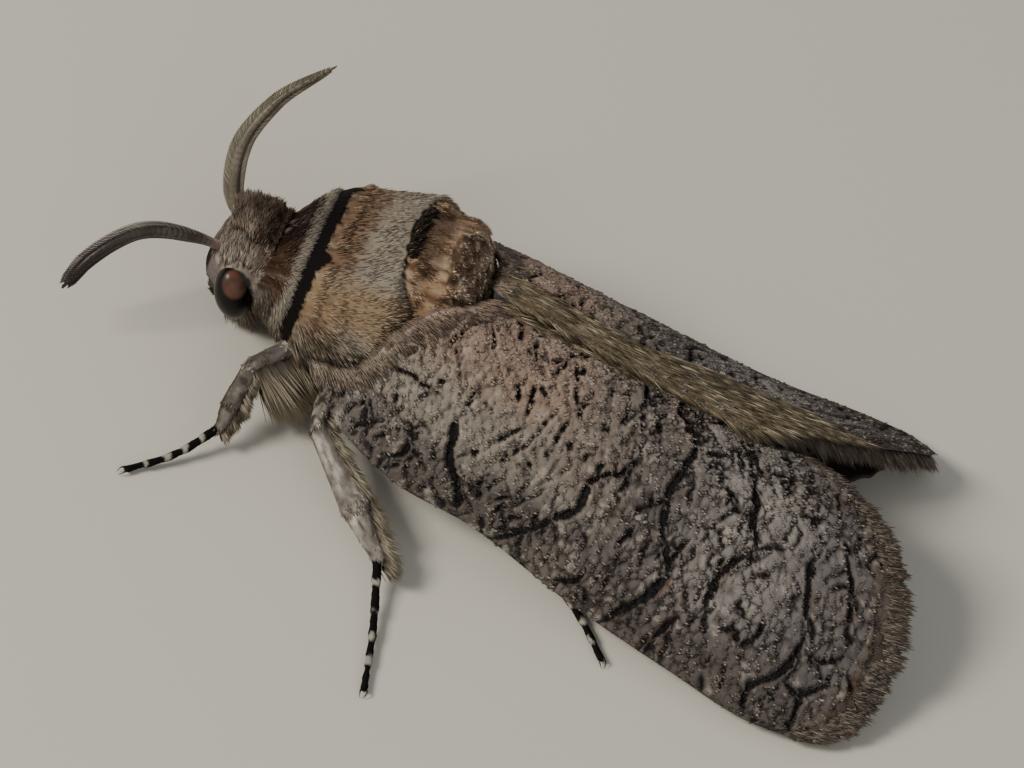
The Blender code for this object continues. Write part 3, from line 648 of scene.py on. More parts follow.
def collar_coat(points, outs):
    """The collar's hairs, streaked dark and orange, with a pale rim, and the black band's."""
    y = points[:, 1]
    count = len(points)
    turn = turn_of(points)
    streak = lumps(round_trunk(points, turn, 5.0), 0.1, 12)
    broad = lumps(points, 0.4, 13)
    ragged = lumps(round_trunk(points, turn, 50.0), 0.13, 14)

    under = smooth(turn, 80, 100)
    rise = 0.25 * smooth(turn, 75, 50) - 0.45 * smooth(turn, 60, 90) - 2.2 * under
    lie = np.array((0.0, 1.0, 0.0)) + topward(outs) * (rise + 0.2 * broad)[:, None]
    lie = lie - np.outer(under, (0.0, 0.0, 0.8))
    front = band_front(turn)
    reach = np.minimum(0.62 + 0.3 * under, front + 0.06 * ragged - y + 0.8 * under)
    colour = mix(PATAGIA_ORANGE, PATAGIA_GREY, smooth(turn, 66, 88))
    colour = mix(colour, PATAGIA_DARK, smooth(turn, 36, 22))
    rim = smooth(y - front, -0.8, -0.62) * smooth(turn, 105, 90)
    colour = mix(colour, PATAGIA_DARK, smooth(streak, -0.1, -0.8) * 0.75 * (1 - 0.7 * rim))
    colour = mix(colour, RIM_PALE, smooth(streak, 0.35, 0.9) * 0.4)
    tip = mix(colour, RIM_PALE, rim * (0.8 - 0.2 * smooth(turn, 30, 10)))
    root = colour * 0.5

    band = y > front - RIM_OVERHANG
    reach = np.where(band, 0.22 + 0.06 * ragged, reach)
    black = np.tile(BAND_BLACK, (count, 1))
    return {
        "lie": lie,
        "stand": 0.8 * under,
        "length": np.maximum(reach, 0.12),
        "width": np.where(band, 0.06, 0.042),
        "lift": np.where(band, 0.16, 0.13),
        "root": np.where(band[:, None], black, root),
        "tip": np.where(band[:, None], black, tip),
    }


def band_edge(points):
    """Where the black band ends: ragged, with a spur on either side."""
    turn = turn_of(points)
    spur = 0.3 * np.exp(-(((turn - SPUR_TURN) / 4.5) ** 2)) + 0.08 * smooth(turn, 20, 10)
    ragged = 0.07 * lumps(round_trunk(points, turn, 50.0), 0.16, 15)
    return np.interp(turn, *np.array(BAND_REAR).T) + spur + ragged


def in_collar(points):
    return trunk_between(NECK, -6.9)(points) * (points[:, 1] < band_front(turn_of(points)) - RIM_OVERHANG)


def in_band(points):
    behind = points[:, 1] >= band_front(turn_of(points)) - RIM_OVERHANG
    return trunk_between(-8.0, -6.5)(points) * behind * (points[:, 1] < band_edge(points))


# The black scales are like velvet: nothing glances off them.
VELVET = tinted_material("Black velvet scales", 0.9, 0.1, 0.08, specular=0.04)
grow("coat_collar", 18000, in_collar, collar_coat, HAIR)
grow("coat_band", 4500, in_band, collar_coat, VELVET)


# Coat of the thorax. Fine wavy hair lies back flat over it, rust in front, grey behind, yellow
# fawn on the flanks, and longer, looser and darker below them, with painted shadow in dashes
# between its clumps.

# The front edge of the black crest, as (degrees down from the top, y).
CREST_LINE = [(0, -4.88), (17, -4.73), (33, -4.48), (40, -4.13), (46, -3.8), (60, -3.4), (180, -3.4)]

THORAX_RUST = linear("#846850")
THORAX_GREY = linear("#9b907f")
THORAX_FAWN = linear("#9b8162")
THORAX_SIDE = linear("#8d7e6c")
THORAX_DARK = linear("#33281f")
THORAX_CREAM = linear("#b0a085")


def crest_front(turn):
    """Where the black crest begins, by degrees down from the top."""
    line = np.array(CREST_LINE)
    return np.interp(turn, line[:, 0], line[:, 1])


def thorax_coat(points, outs):
    """The thorax's hairs, which stop short of the crest on top and grow longer down the side."""
    y, z = points[:, 1], points[:, 2]
    count = len(points)
    turn = turn_of(points)
    streak = lumps(round_trunk(points, turn, 3.2), 0.11, 22)
    dash = lumps(round_trunk(points, turn, 3.0), 0.16, 23)
    broad = lumps(points, 0.5, 24)
    blotch = lumps(points, 0.75, 25)

    flank = smooth(turn, 68, 92)
    rise = 0.42 * smooth(turn, 85, 55) * smooth(turn, 0, 12) - 0.45 * flank + 0.3 * broad
    below = smooth(turn, 100, 125)
    lie = np.array((0.0, 1.0, 0.0)) + topward(outs) * rise[:, None] - np.outer(below, (0, 0, 0.9))
    edge = crest_front(turn) + 0.03 * dash
    long = 0.55 + 0.4 * flank + 0.6 * below
    reach = np.minimum(long, np.maximum(edge - y, 0.1) + 2.0 * smooth(turn, 44, 50))

    colour = mix(THORAX_RUST, THORAX_GREY, smooth(y + 0.2 * blotch, -6.35, -5.6))
    fawn = smooth(turn, 38, 48) * smooth(turn, 76, 64)
    colour = mix(colour, THORAX_FAWN, fawn * 0.85)
    colour = mix(colour, THORAX_SIDE, flank)
    dash_shadow_share = 1 - 0.5 * smooth(y, -6.0, -5.4)
    # Painted shadow: dark dashes between the clumps of hair and single dark hairs, fewer on the grey back.
    colour = mix(colour, THORAX_DARK, smooth(dash, -0.15, -0.75) * 0.55 * dash_shadow_share)
    colour = mix(colour, THORAX_DARK, (chance.random(count) < 0.08) * 0.5 * dash_shadow_share)
    colour = mix(colour, THORAX_DARK, smooth(blotch, 0.25, 0.7) * flank * 0.75)
    colour = mix(colour, THORAX_CREAM, smooth(streak, 0.2, 0.8) * 0.55)
    yellow = smooth(z, 1.7, 1.0)
    colour = mix(colour, THORAX_FAWN, yellow * 0.7)
    return {
        "lie": lie,
        "stand": 0.6 * below,
        "length": reach,
        "width": np.full(count, 0.05),
        "lift": 0.12 + 0.05 * dash + 0.14 * flank,
        "root": colour * 0.62,
        "tip": colour,
    }


def before_crest(points):
    weights = trunk_between(-7.5, -3.0)(points) * (points[:, 1] >= band_edge(points))
    return weights * (points[:, 1] < crest_front(turn_of(points)) - 0.02)


grow("coat_thorax", 31500, before_crest, thorax_coat, HAIR)


# Coat of the metathorax. A ragged black crest stands across the back. Behind it are mottled
# ochre hairs and then a cushion of broad, glossy bronze scales with painted cream glints.

# How far the crest reaches back at its root, and where the bronze begins, by degrees from the top.
CREST_DEPTH = [(0, 0.28), (12, 0.24), (20, 0.15), (46, 0.13), (180, 0.13)]
BRONZE_LINE = [(0, -3.42), (13, -3.3), (24, -3.12), (31, -2.7), (45, -2.4), (180, -2.4)]

CREST_BLACK = linear("#120c0a")
OCHRE = linear("#ae8b6a")
OCHRE_PALE = linear("#cdb294")
BRONZE = linear("#604735")
BRONZE_PALE = linear("#c4a680")
PAINTED_GLINT = linear("#e2d8c0")

# Bronze scales are broad, smooth and thick, so the light glances off them.
BRONZE_SCALES = tinted_material("Glossy bronze scales", 0.25, 0.1, 0.12, specular=0.7)


def crest_back(points):
    """Where the crest's roots end, raggedly."""
    turn = turn_of(points)
    ragged = 0.07 * lumps(round_trunk(points, turn, 50.0), 0.15, 36)
    return crest_front(turn) + np.interp(turn, *np.array(CREST_DEPTH).T) + ragged


def bronze_front(points):
    """Where the bronze cushion begins, in soft lobes."""
    return np.interp(turn_of(points), *np.array(BRONZE_LINE).T) + 0.06 * lumps(points, 0.42, 33)


def metathorax_coat(points, outs):
    """The crest's hairs, upright on top, the ochre hairs behind it and the bronze scales."""
    y = points[:, 1]
    count = len(points)
    turn = turn_of(points)
    streak = lumps(round_trunk(points, turn, 3.0), 0.12, 32)
    broad = lumps(points, 0.42, 33)
    fine = chance.random(count)

    lie = np.array((0.0, 1.0, 0.0)) + topward(outs) * (0.6 * broad)[:, None]
    start = bronze_front(points)
    bronze = y > start
    colour = mix(OCHRE, OCHRE_PALE, smooth(streak, 0.0, 0.8) * 0.8)
    colour = mix(colour, BRONZE, smooth(streak, -0.05, -0.7) * 0.85)
    colour = mix(colour, BRONZE, smooth(broad, 0.3, 0.8) * 0.5)
    # Painted cream glints on a few ochre hairs along the front of the bronze cushion.
    colour = mix(colour, PAINTED_GLINT, smooth(start - y, 0.35, 0.1) * (fine > 0.8) * 0.35)
    clump = lumps(points, 0.26, 34)
    dark = mix(BRONZE, BRONZE_PALE, smooth(clump, -0.2, 0.8) * 0.7 + 0.15 * fine)
    # Painted cream glints on a few bronze scales, on the clumps.
    dark = mix(dark, PAINTED_GLINT, (fine > 0.84) * smooth(clump, -0.3, 0.3) * 0.85)
    dark = mix(dark, CREST_BLACK, smooth(clump, -0.2, -0.7) * 0.7)
    colour = np.where(bronze[:, None], dark, colour)
    reach = np.where(bronze, 0.27, np.minimum(0.36, np.maximum(start - y, 0.14)))
    width = np.where(bronze, 0.09, 0.042)
    lift = 0.3 + 0.3 * clump

    crest = y < crest_back(points)
    top = smooth(turn, 22, 8)
    colour = np.where(crest[:, None], mix(CREST_BLACK, OCHRE, fine**5 * 0.45), colour)
    spiky = lumps(points, 0.14, 35)
    reach = np.where(crest, 0.2 + (0.36 + 0.14 * spiky) * top, reach)
    lift = np.where(crest, 0.15 + (0.8 + 0.3 * spiky) * top, lift)
    return {
        "lie": lie,
        "length": reach,
        "width": np.where(crest, 0.06, width),
        "lift": lift,
        "bend": np.full(count, 0.12),
        "root": colour * 0.6,
        "tip": colour,
    }


def in_crest(points):
    y = points[:, 1]
    inside = (y >= crest_front(turn_of(points)) - 0.02) & (y < crest_back(points))
    return trunk_between(-5.2, -2.5)(points) * inside


def in_ochre(points):
    y = points[:, 1]
    return trunk_between(-4.8, WAIST)(points) * (y >= crest_back(points)) * (y <= bronze_front(points))


def in_bronze(points):
    return trunk_between(-3.8, WAIST)(points) * (points[:, 1] > bronze_front(points))


grow("coat_crest", 5000, in_crest, metathorax_coat, HAIR)
grow("coat_metathorax", 7500, in_ochre, metathorax_coat, HAIR)
grow("coat_bronze", 6500, in_bronze, metathorax_coat, BRONZE_SCALES)


# Coat of the abdomen. It lies hidden under the wings: plain grey-brown hair, flat towards the tip.

ABDOMEN_GREY = linear("#6d6153")
ABDOMEN_FAWN = linear("#94866a")


def abdomen_coat(points, outs):
    count = len(points)
    colour = mix(ABDOMEN_GREY, ABDOMEN_FAWN, smooth(lumps(points, 0.3, 41), 0.0, 0.8) * 0.5)
    return {
        "lie": np.tile((0.0, 1.0, 0.0), (count, 1)),
        "length": np.full(count, 0.65),
        "width": np.full(count, 0.08),
        "lift": np.full(count, 0.12),
        "root": colour * 0.6,
        "tip": colour,
    }


grow("coat_abdomen", 4000, trunk_between(WAIST, 11.0), abdomen_coat, HAIR)


# Coat of the legs. Short scales lie down them in pale and dark blotches, black on the feet. The
# thighs and shins carry long pale-tipped locks behind and below.

# The way that each pair's long hairs point (on the left), and their lengths on thigh and shin.
LOCKS = {
    "fore": ((0.3, 1.0, -0.9), 2.1, 0.6),
    "mid": ((0.55, 1.0, 0.05), 0.7, 1.05),
    "hind": ((0.3, 1.0, 0.0), 0.6, 0.65),
}

LEG_CREAM = linear("#d8cebb")
LEG_GREY = linear("#968c80")
LEG_DARK = linear("#30261f")
LEG_BLACK = linear("#110d0b")
LOCK_TIP = linear("#ab9e84")

limb_pairs = np.array([limb[0] for limb in limbs])
limb_sides = np.array([limb[1] for limb in limbs])
limb_parts = np.array([limb[2] for limb in limbs])
limb_ways = unit(np.array([limb[4] - limb[3] for limb in limbs]))


def leg_coat(points, outs):
    """Short scales down a leg, blotched on thigh and shin, black with pale rings on the foot."""
    count = len(points)
    index, along, _ = off_leg(points)
    pair, part, ways = limb_pairs[index], limb_parts[index], limb_ways[index]
    drawn_out = points - ways * ((points * ways).sum(1) * 0.7)[:, None]
    streak = lumps(drawn_out, 0.1, 51)
    blotch = lumps(points, 0.3, 52)

    colour = mix(LEG_GREY, LEG_CREAM, smooth(streak, -0.3, 0.7) * 0.9)
    dark = smooth(blotch + 0.35 * lumps(points, 0.12, 53), 0.1, 0.45) * 0.85
    dark = np.where((pair == "fore") & (part == "tibia"), np.maximum(dark, 0.66), dark)
    dark = np.where((pair == "mid") & (part == "tibia"), dark * 0.45, dark)
    front = smooth(outs @ np.array((0.0, -1.0, 0.2)), 0.5, 0.85)
    dark = np.where(part == "tibia", np.maximum(dark, front * 0.9), dark)
    ridge = smooth(outs[:, 2] - 0.3 * outs[:, 1], 0.75, 0.95)
    dark = np.where((part == "femur") & (pair == "fore"), np.maximum(dark * 0.5, ridge * 0.7), dark)
    dark = np.maximum(dark, smooth(streak, -0.4, -0.9) * 0.8)
    colour = mix(colour, LEG_DARK, dark)
    ring = smooth(along + 0.35 * blotch, 0.86, 0.94) * (outs[:, 2] > -0.2)
    ring = ring * (index % LIMBS_PER_LEG != LIMBS_PER_LEG - 1)
    foot = mix(LEG_BLACK, LEG_CREAM, ring * 0.6)
    colour = np.where((part == "tarsus")[:, None], foot, colour)
    return {
        "lie": ways,
        "length": np.where(part == "tarsus", 0.14, 0.3),
        "width": np.where(part == "tarsus", 0.045, 0.055),
        "lift": np.where(part == "tarsus", 0.06, 0.14),
        "root": colour * 0.7,
        "tip": colour,
    }


def lock_coat(points, outs):
    """Long hairs behind and below a thigh or shin, dark at the root and pale at the tip."""
    count = len(points)
    index, _, _ = off_leg(points)
    lie = np.zeros((count, 3))
    length = np.zeros(count)
    for pair, (way, on_thigh, on_shin) in LOCKS.items():
        here = limb_pairs[index] == pair
        sides = limb_sides[index[here]]
        lie[here] = np.array(way) * np.stack([sides, np.ones(len(sides)), np.ones(len(sides))], 1)
        length[here] = np.where(limb_parts[index[here]] == "femur", on_thigh, on_shin)
    lock = lumps(points, 0.22, 54)
    thigh = (limb_parts[index] == "femur") & (limb_pairs[index] == "fore")
    root = mix(LEG_DARK, LEG_GREY, smooth(lock, 0.0, 0.8) * (1 - 0.6 * thigh))
    tip = mix(LOCK_TIP, LEG_DARK, smooth(lock, 0.0, -0.6) * 0.75)
    return {
        "lie": lie + 0.25 * lock[:, None] * np.array((0.4, 0.0, 1.0)),
        "stand": np.ones(count),
        "length": length * (0.9 + 0.25 * lock),
        "width": np.full(count, 0.05),
        "lift": np.full(count, 0.08),
        "bend": np.full(count, 0.04),
        "root": root * 0.75,
        "tip": tip,
    }


def legs_only(points):
    """Picks the legs, with more scales on the feet and on the left."""
    index, _, off = off_leg(points)
    nearer = 0.5 + 0.9 * (limb_sides[index] > 0)
    return (off <= 1.4) * nearer * (1.0 + 1.3 * (limb_parts[index] == "tarsus"))


def backs_of_legs(points):
    """Picks the rear and underside of the thighs and shins, by where points lie round them."""
    index, along, off = off_leg(points)
    starts = np.array([limb[3] for limb in limbs])[index]
    ends = np.array([limb[4] for limb in limbs])[index]
    aside = points - starts - (ends - starts) * along[:, None]
    aside /= np.maximum(np.linalg.norm(aside, axis=1, keepdims=True), 1e-6)
    rear = smooth(aside @ np.array((0.0, 0.9, -0.43)), 0.1, 0.6)
    nearer = 0.5 + 0.9 * (limb_sides[index] > 0)
    nearer = nearer * np.where((limb_pairs[index] == "fore") & (limb_parts[index] == "femur"), 2.5, 1.0)
    return (off <= 1.4) * nearer * rear * (limb_parts[index] != "tarsus")


grow("coat_legs", 21500, legs_only, leg_coat, HAIR)
# The locks leave the skin painted as the short scales between them are.
between_locks = skin_tints.copy()
grow("coat_leg_locks", 12000, backs_of_legs, lock_coat, HAIR)
skin_tints[:] = between_locks

# The skin itself is dull horn, and shows only between the scales.
SKIN = tinted_material("Dull horny skin", 0.8, 0.12, 0.08, depth=0.02, specular=0.1)
add_tint(skin.data, skin_tints)
finish_piece(skin, SKIN)
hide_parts("head", "collar", "thorax", "metathorax", "abdomen")
for word in ("left", "right"):
    for pair in LEGS:
        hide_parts(*(f"leg_{pair}_{word}_{part}" for part in ("femur", "tibia", "tarsus")))


# Claws. Each foot ends in a pair of curved black hooks of polished horn, set in its last joint.

CLAW_LENGTH = 0.28
CLAW_BLACK = linear("#15100d")


def tube_rings(path, radii, sides, flatness=1.0, roll=(0, 0, 1)):
    """Rings of points round a path, each flattened over the way that roll gives."""
    path = np.asarray(path, float)
    ways = unit(np.gradient(path, axis=0))
    turn = np.linspace(0, 2 * math.pi, sides, endpoint=False)
    side = unit(np.cross(ways, roll))
    over = np.cross(side, ways)
    return path[:, None] + radii[:, None, None] * (
        np.cos(turn)[None, :, None] * side[:, None]
        + flatness * np.sin(turn)[None, :, None] * over[:, None]
    )


def tube_faces(steps, sides):
    """Triangles of a closed tube, whose ends are fans."""
    faces = []
    for i in range(steps - 1):
        for k in range(sides):
            a = i * sides + k
            b = i * sides + (k + 1) % sides
            faces += [(a, b, b + sides), (a, b + sides, a + sides)]
    for k in range(1, sides - 1):
        last = (steps - 1) * sides
        faces += [(0, k + 1, k), (last, last + k, last + k + 1)]
    return np.array(faces)


def outward(points, faces):
    """The faces, turned round if the body that they close is inside out."""
    a, b, c = (points[faces[:, k]] for k in range(3))
    return faces if (a * np.cross(b, c)).sum() > 0 else faces[:, ::-1]


def joined_tubes(name, many_rings):
    """One mesh of many closed tubes."""
    points = []
    faces = []
    base = 0
    for rings in many_rings:
        steps, sides = rings.shape[:2]
        flat = rings.reshape(-1, 3)
        faces.append(outward(flat - flat.mean(0), tube_faces(steps, sides)) + base)
        points.append(flat)
        base += len(flat)
    made = bpy.data.objects.new(name, triangle_mesh(name, np.concatenate(points), np.concatenate(faces)))
    bpy.context.collection.objects.link(made)
    return made


def claw_rings(base, lie, side):
    """Rings of one hook, from its base to a point that turns down to the floor."""
    t = np.linspace(0, 1, 6)
    middle = base + np.outer(t, lie) * CLAW_LENGTH + np.outer(t * (1 - t), side) * 0.12
    middle[:, 2] += 0.05 * np.sin(math.pi * t) - 0.12 * t**2
    return tube_rings(middle, 0.045 * (1 - 0.85 * t), 6)


hooks = []
for _, _, _, start, end, _, _, _ in limbs[LIMBS_PER_LEG - 1 :: LIMBS_PER_LEG]:
    lie, across, _ = across_limb(start, end)
    lie = unit(lie * (1, 1, 0.2))
    for hand in (1, -1):
        hooks.append(claw_rings(end + across * 0.06 * hand - lie * 0.03, lie, across * hand * 1.6))
claws = joined_tubes("claws", hooks)
add_tint(claws.data, np.tile(CLAW_BLACK, (len(claws.data.vertices), 1)))
# Horn is hard and smooth, so a small bright light runs along each hook.
CLAW_HORN = tinted_material("Polished black horn", 0.25, 0.05, 0.05, specular=0.5)
finish_piece(claws, CLAW_HORN)


# Eyes. Each is a smooth domed cornea of very many small facets, black at the rim, with a dull
# red-brown painted reflection in the middle, set in the side of the head.

EYE_TILT = math.radians(20)
# Real facets are about 0.02 mm across, too fine to show, so they are drawn twice as wide.
FACET = 0.045
# The way that the painted red-brown reflection faces on the left eye: to the side and up.
REFLECTION_WAY = (0.53, 0.05, 0.865)
CORNEA_PAINTED_REFLECTION = linear("#573a2d")
CORNEA_PAINTED_REFLECTION_DARK = linear("#443228")
CORNEA_BLACK = linear("#080504")


def eye_material():
    """Dark, smooth and slightly glossy, with facets too shallow to catch the light one by one."""
    made = bpy.data.materials.new("Faceted cornea")
    made.use_nodes = True
    tree = made.node_tree
    tree.nodes.clear()
    place = add_node(tree, "ShaderNodeTexCoord").outputs["Object"]
    facets = add_node(
        tree, "ShaderNodeTexVoronoi", {"Scale": 1 / (FACET * MM)}, {"Vector": place}
    ).outputs["Distance"]
    tint = add_node(tree, "ShaderNodeAttribute", {"attribute_name": "tint"}).outputs["Color"]
    bump = add_node(
        tree, "ShaderNodeBump", {"Strength": 0.2, "Distance": 0.003 * MM, "invert": True}, {"Height": facets}
    ).outputs["Normal"]
    shader = add_node(
        tree,
        "ShaderNodeBsdfPrincipled",
        {"Roughness": 0.3, "Specular IOR Level": 0.22},
        {"Base Color": tint, "Normal": bump},
    )
    add_node(tree, "ShaderNodeOutputMaterial", {}, {"Surface": shader.outputs["BSDF"]})
    return made


CORNEA = eye_material()
for side, word in ((1, "left"), (-1, "right")):
    deselect()
    centre = np.array(EYE_MIDDLE) * (side, 1, 1)
    bpy.ops.mesh.primitive_ico_sphere_add(subdivisions=5, radius=1)
    eye = bpy.context.active_object
    eye.name = "cornea_" + word
    eye.scale = EYE_RADII
    eye.rotation_euler = (EYE_TILT, 0, 0)
    eye.location = centre
    bpy.ops.object.transform_apply(location=True, rotation=True, scale=True)
    away = unit((numbers_of(eye.data.vertices, "co", 3) - centre) / EYE_RADII)
    # The painted reflection lies where the cornea faces its way, and the rest is black.
    facing = away @ unit(np.array(REFLECTION_WAY) * (side, 1, 1))
    patch = lumps(away, 0.3, 61)
    brown = mix(CORNEA_PAINTED_REFLECTION, CORNEA_PAINTED_REFLECTION_DARK, smooth(patch, -0.3, 0.6))
    add_tint(eye.data, mix(brown, CORNEA_BLACK, smooth(facing + 0.02 * patch, 0.82, 0.7)))
    finish_piece(eye, CORNEA)
    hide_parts("eye_" + word)


# Palps. Two short stout feelers below the face, jointed to the mouth, under flat dark scales.

PALP_PATH = [(0.42, -9.6, 1.05), (0.42, -9.98, 1.1), (0.4, -10.2, 1.4)]
PALP_RADII = [0.2, 0.22, 0.22, 0.2, 0.17, 0.13, 0.07]
PALP_SCALES = 900
PALP_DARK = linear("#2b2420")
PALP_GREY = linear("#7a6f63")


def scaled_tube(name, rings, count, reach, breadth, colours, look, replaced):
    """A tube under flat scales: the tube replaces its node, and the scales are a coat piece."""
    core = joined_tubes(name, [rings])
    steps, sides = rings.shape[:2]
    shares = np.repeat(np.linspace(0, 1, steps), sides)
    add_tint(core.data, colours(shares, rings.reshape(-1, 3)) * 0.6)
    t = chance.random(count) * 0.97
    around = chance.random(count)
    i = np.minimum((t * (steps - 1)).astype(int), steps - 2)
    k = (around * sides).astype(int) % sides
    f = (t * (steps - 1) - i)[:, None]
    g = (around * sides - k)[:, None]
    near = rings[i, k] * (1 - g) + rings[i, (k + 1) % sides] * g
    far = rings[i + 1, k] * (1 - g) + rings[i + 1, (k + 1) % sides] * g
    roots = near * (1 - f) + far * f
    middles = rings.mean(1)
    outs = unit(roots - middles[i] * (1 - f) - middles[i + 1] * f)
    lies = unit(unit(middles[i + 1] - middles[i]) + outs * 0.1 + chance.normal(0, 0.1, (count, 3)))
    tint = colours(t, roots) * (1 + 0.15 * chance.normal(0, 1, (count, 1)).clip(-2, 2))
    coat = blades(
        name + "_scales", roots - outs * 0.02, lies, outs, reach * chance.uniform(0.7, 1.2, count),
        np.full(count, breadth), np.full(count, 0.1), np.stack([0.05 + 0.9 * t, 0.05 + 0.9 * around], 1),
        tint * 0.7, tint,
    )
    for piece in (core, coat):
        finish_piece(piece, look)
    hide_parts(replaced)


def palp_colours(t, points):
    return mix(PALP_DARK, PALP_GREY, smooth(lumps(points, 0.2, 15), 0.1, 0.7) * 0.6)


for side, word in ((1, "left"), (-1, "right")):
    path = spline(PALP_PATH, np.linspace(0, 1, 7)) * (side, 1, 1)
    rings = tube_rings(path, np.array(PALP_RADII), 12, roll=(1, 0, 0))
    scaled_tube(
        "palp_tube_" + word, rings, PALP_SCALES, 0.24, 0.06, palp_colours, HAIR,
        "palp_" + word,
    )


# Feelers. Each is a scaled shaft of horn with two rows of close-set branches that lean towards
# its tip, so that together they make one flat, pointed blade.

LEFT_ANTENNA = [
    (0.7, -9.9, 3.3),
    (1.1, -11.0, 3.66),
    (2.1, -12.75, 3.9),
    (3.3, -13.85, 3.2),
    (4.0, -14.34, 2.12),
]
RIGHT_ANTENNA = [
    (-0.6, -9.9, 3.1),
    (-0.95, -10.6, 4.0),
    (-1.8, -11.0, 5.35),
    (-2.8, -10.6, 6.6),
    (-4.1, -9.21, 8.1),
]
ANTENNA_ACROSS = {"left": (1, 0.3, 0.3), "right": (0.6, 0.0, 0.4)}
LEFT_WIDTHS = [0.18, 0.24, 0.36, 0.42, 0.44, 0.44, 0.43, 0.4, 0.33, 0.1]
RIGHT_WIDTHS = [0.3, 0.42, 0.45, 0.44, 0.4, 0.36, 0.31, 0.25, 0.17, 0.05]
BRANCH_PAIRS = 70
BRANCH_STEPS = 4
BRANCH_SIDES = 4
# The shaft's half width, as a share of the blade's.
SHAFT_SHARE = 0.4
FEELER_SCALES = 1900
# How fast the pale rings follow one another along a feeler.
RING_RATE = 230

LEFT_BROWN = linear("#3f342e")
LEFT_BLACK = linear("#2c1916")
LEFT_PINK = linear("#8d7468")
LEFT_PALE = linear("#776e61")
RIGHT_FAWN = linear("#6f6656")
RIGHT_OLIVE = linear("#5a523d")
RIGHT_PALE = linear("#9f947d")


def branch_rings(path, amount, reach, across, side):
    """One branch: it leaves the shaft, sweeps forwards and curves in to the blade's edge."""
    root, ahead = spline(path, np.array([amount, min(amount + 0.02, 1.0)]))
    lie = unit(ahead - root)
    blade = unit(np.cross(lie, across)) * side
    over = unit(np.cross(blade, lie)) * side
    t = np.linspace(0, 1, BRANCH_STEPS)
    middle = root + np.outer(t, lie) * reach * 1.5 + np.outer(np.sin(t * 1.45), blade) * reach
    middle = middle - np.outer(t**2, over) * reach * 0.25
    return tube_rings(middle, 0.042 * (1 - 0.6 * t), BRANCH_SIDES, roll=across)


def left_antenna_colours(t, points):
    """Brown with dotted pale rings, black towards the tip, and pink near the root."""
    base = mix(LEFT_BROWN, LEFT_BLACK, smooth(t, 0.5, 0.85))
    base = mix(base, LEFT_PINK, np.exp(-(((t - 0.09) / 0.05) ** 2)) * 0.8)
    rings = smooth(np.sin(t * RING_RATE), 0.0, 0.9) * smooth(t, 0.7, 0.35)
    return mix(base, LEFT_PALE, rings * 0.6)


def right_antenna_colours(t, points):
    """Fawn that turns olive, with fine pale rings: its scaled side, with painted light that makes it paler
    than the left feeler.
    """
    base = mix(RIGHT_FAWN, RIGHT_OLIVE, smooth(t, 0.2, 0.9))
    return mix(base, RIGHT_PALE, smooth(np.sin(t * RING_RATE), 0.3, 0.95) * 0.4)


# Feeler horn is fairly smooth, so that the whole blade has a satin sheen.
ANTENNA = tinted_material("Satin feeler horn", 0.45, 0.06, 0.1, depth=0.01, specular=0.4)
for word, path, widths, colours in (
    ("left", LEFT_ANTENNA, LEFT_WIDTHS, left_antenna_colours),
    ("right", RIGHT_ANTENNA, RIGHT_WIDTHS, right_antenna_colours),
):
    across = unit(np.array(ANTENNA_ACROSS[word], float))
    amounts = np.linspace(0, 1, 70)
    reach = np.interp(amounts, np.linspace(0, 1, len(widths)), widths)
    rings = tube_rings(spline(path, amounts), reach * SHAFT_SHARE, 10, 0.8, roll=across)
    scaled_tube(
        "feeler_" + word, rings, FEELER_SCALES, 0.16, 0.055, colours, ANTENNA, "antenna_" + word
    )
    many = []
    shades = []
    for amount in np.linspace(0.06, 0.95, BRANCH_PAIRS):
        wide = np.interp(amount, np.linspace(0, 1, len(widths)), widths)
        for side in (1, -1):
            many.append(branch_rings(path, amount, wide * 0.8, across, side))
            points = np.full(BRANCH_STEPS * BRANCH_SIDES, amount)
            shades.append(colours(points, None) * chance.uniform(0.7, 1.15))
    comb = joined_tubes("feeler_comb_" + word, many)
    add_tint(comb.data, np.concatenate(shades))
    finish_piece(comb, ANTENNA)


# Camera. It stands on the moth's left and above it, at the photograph's angle. It also finds the
# places of the wings' cracks, which are named below by their pixels in the photograph.

CAMERA_HEIGHT_ANGLE = math.radians(48.0)
CAMERA_ROLL = math.radians(23.7)
CAMERA_DISTANCE = 200.0
CAMERA_TARGET = np.array((0.0, 0.0, 2.1))
FOCAL_PIXELS = 6200.0
IMAGE_WIDTH = 1024
IMAGE_HEIGHT = 768

back = np.array((math.cos(CAMERA_HEIGHT_ANGLE), 0.0, math.sin(CAMERA_HEIGHT_ANGLE)))
level = np.array((0.0, 1.0, 0.0))
upright = np.cross(back, level)
image_right = math.cos(CAMERA_ROLL) * level + math.sin(CAMERA_ROLL) * upright
image_up = -math.sin(CAMERA_ROLL) * level + math.cos(CAMERA_ROLL) * upright
camera_place = CAMERA_TARGET + back * CAMERA_DISTANCE


def pixels_of(points):
    """Where the camera sees points, in pixels of the photograph."""
    off = points - camera_place
    depth = -(off @ back)
    across = IMAGE_WIDTH / 2 + FOCAL_PIXELS * (off @ image_right) / depth
    down = IMAGE_HEIGHT / 2 - FOCAL_PIXELS * (off @ image_up) / depth
    return np.stack([across, down], -1)


camera_data = bpy.data.cameras.new("Camera")
camera_data.sensor_width = 36
camera_data.lens = FOCAL_PIXELS * 36 / IMAGE_WIDTH
camera_data.clip_start = 0.01
camera = bpy.data.objects.new("Camera", camera_data)
bpy.context.collection.objects.link(camera)
turned = Matrix((image_right, image_up, back)).transposed().to_4x4()
stands = (camera_place - (MIDDLE_X, MIDDLE_Y, 0)) * MM
camera.matrix_world = Matrix.Translation(stands) @ turned
bpy.context.scene.camera = camera


# Forewings. Each is a thin membrane held open by veins, folded like a roof over the body. Its
# scales overlap like tiles on a relief of fine grains, split by black cracks like old bark.

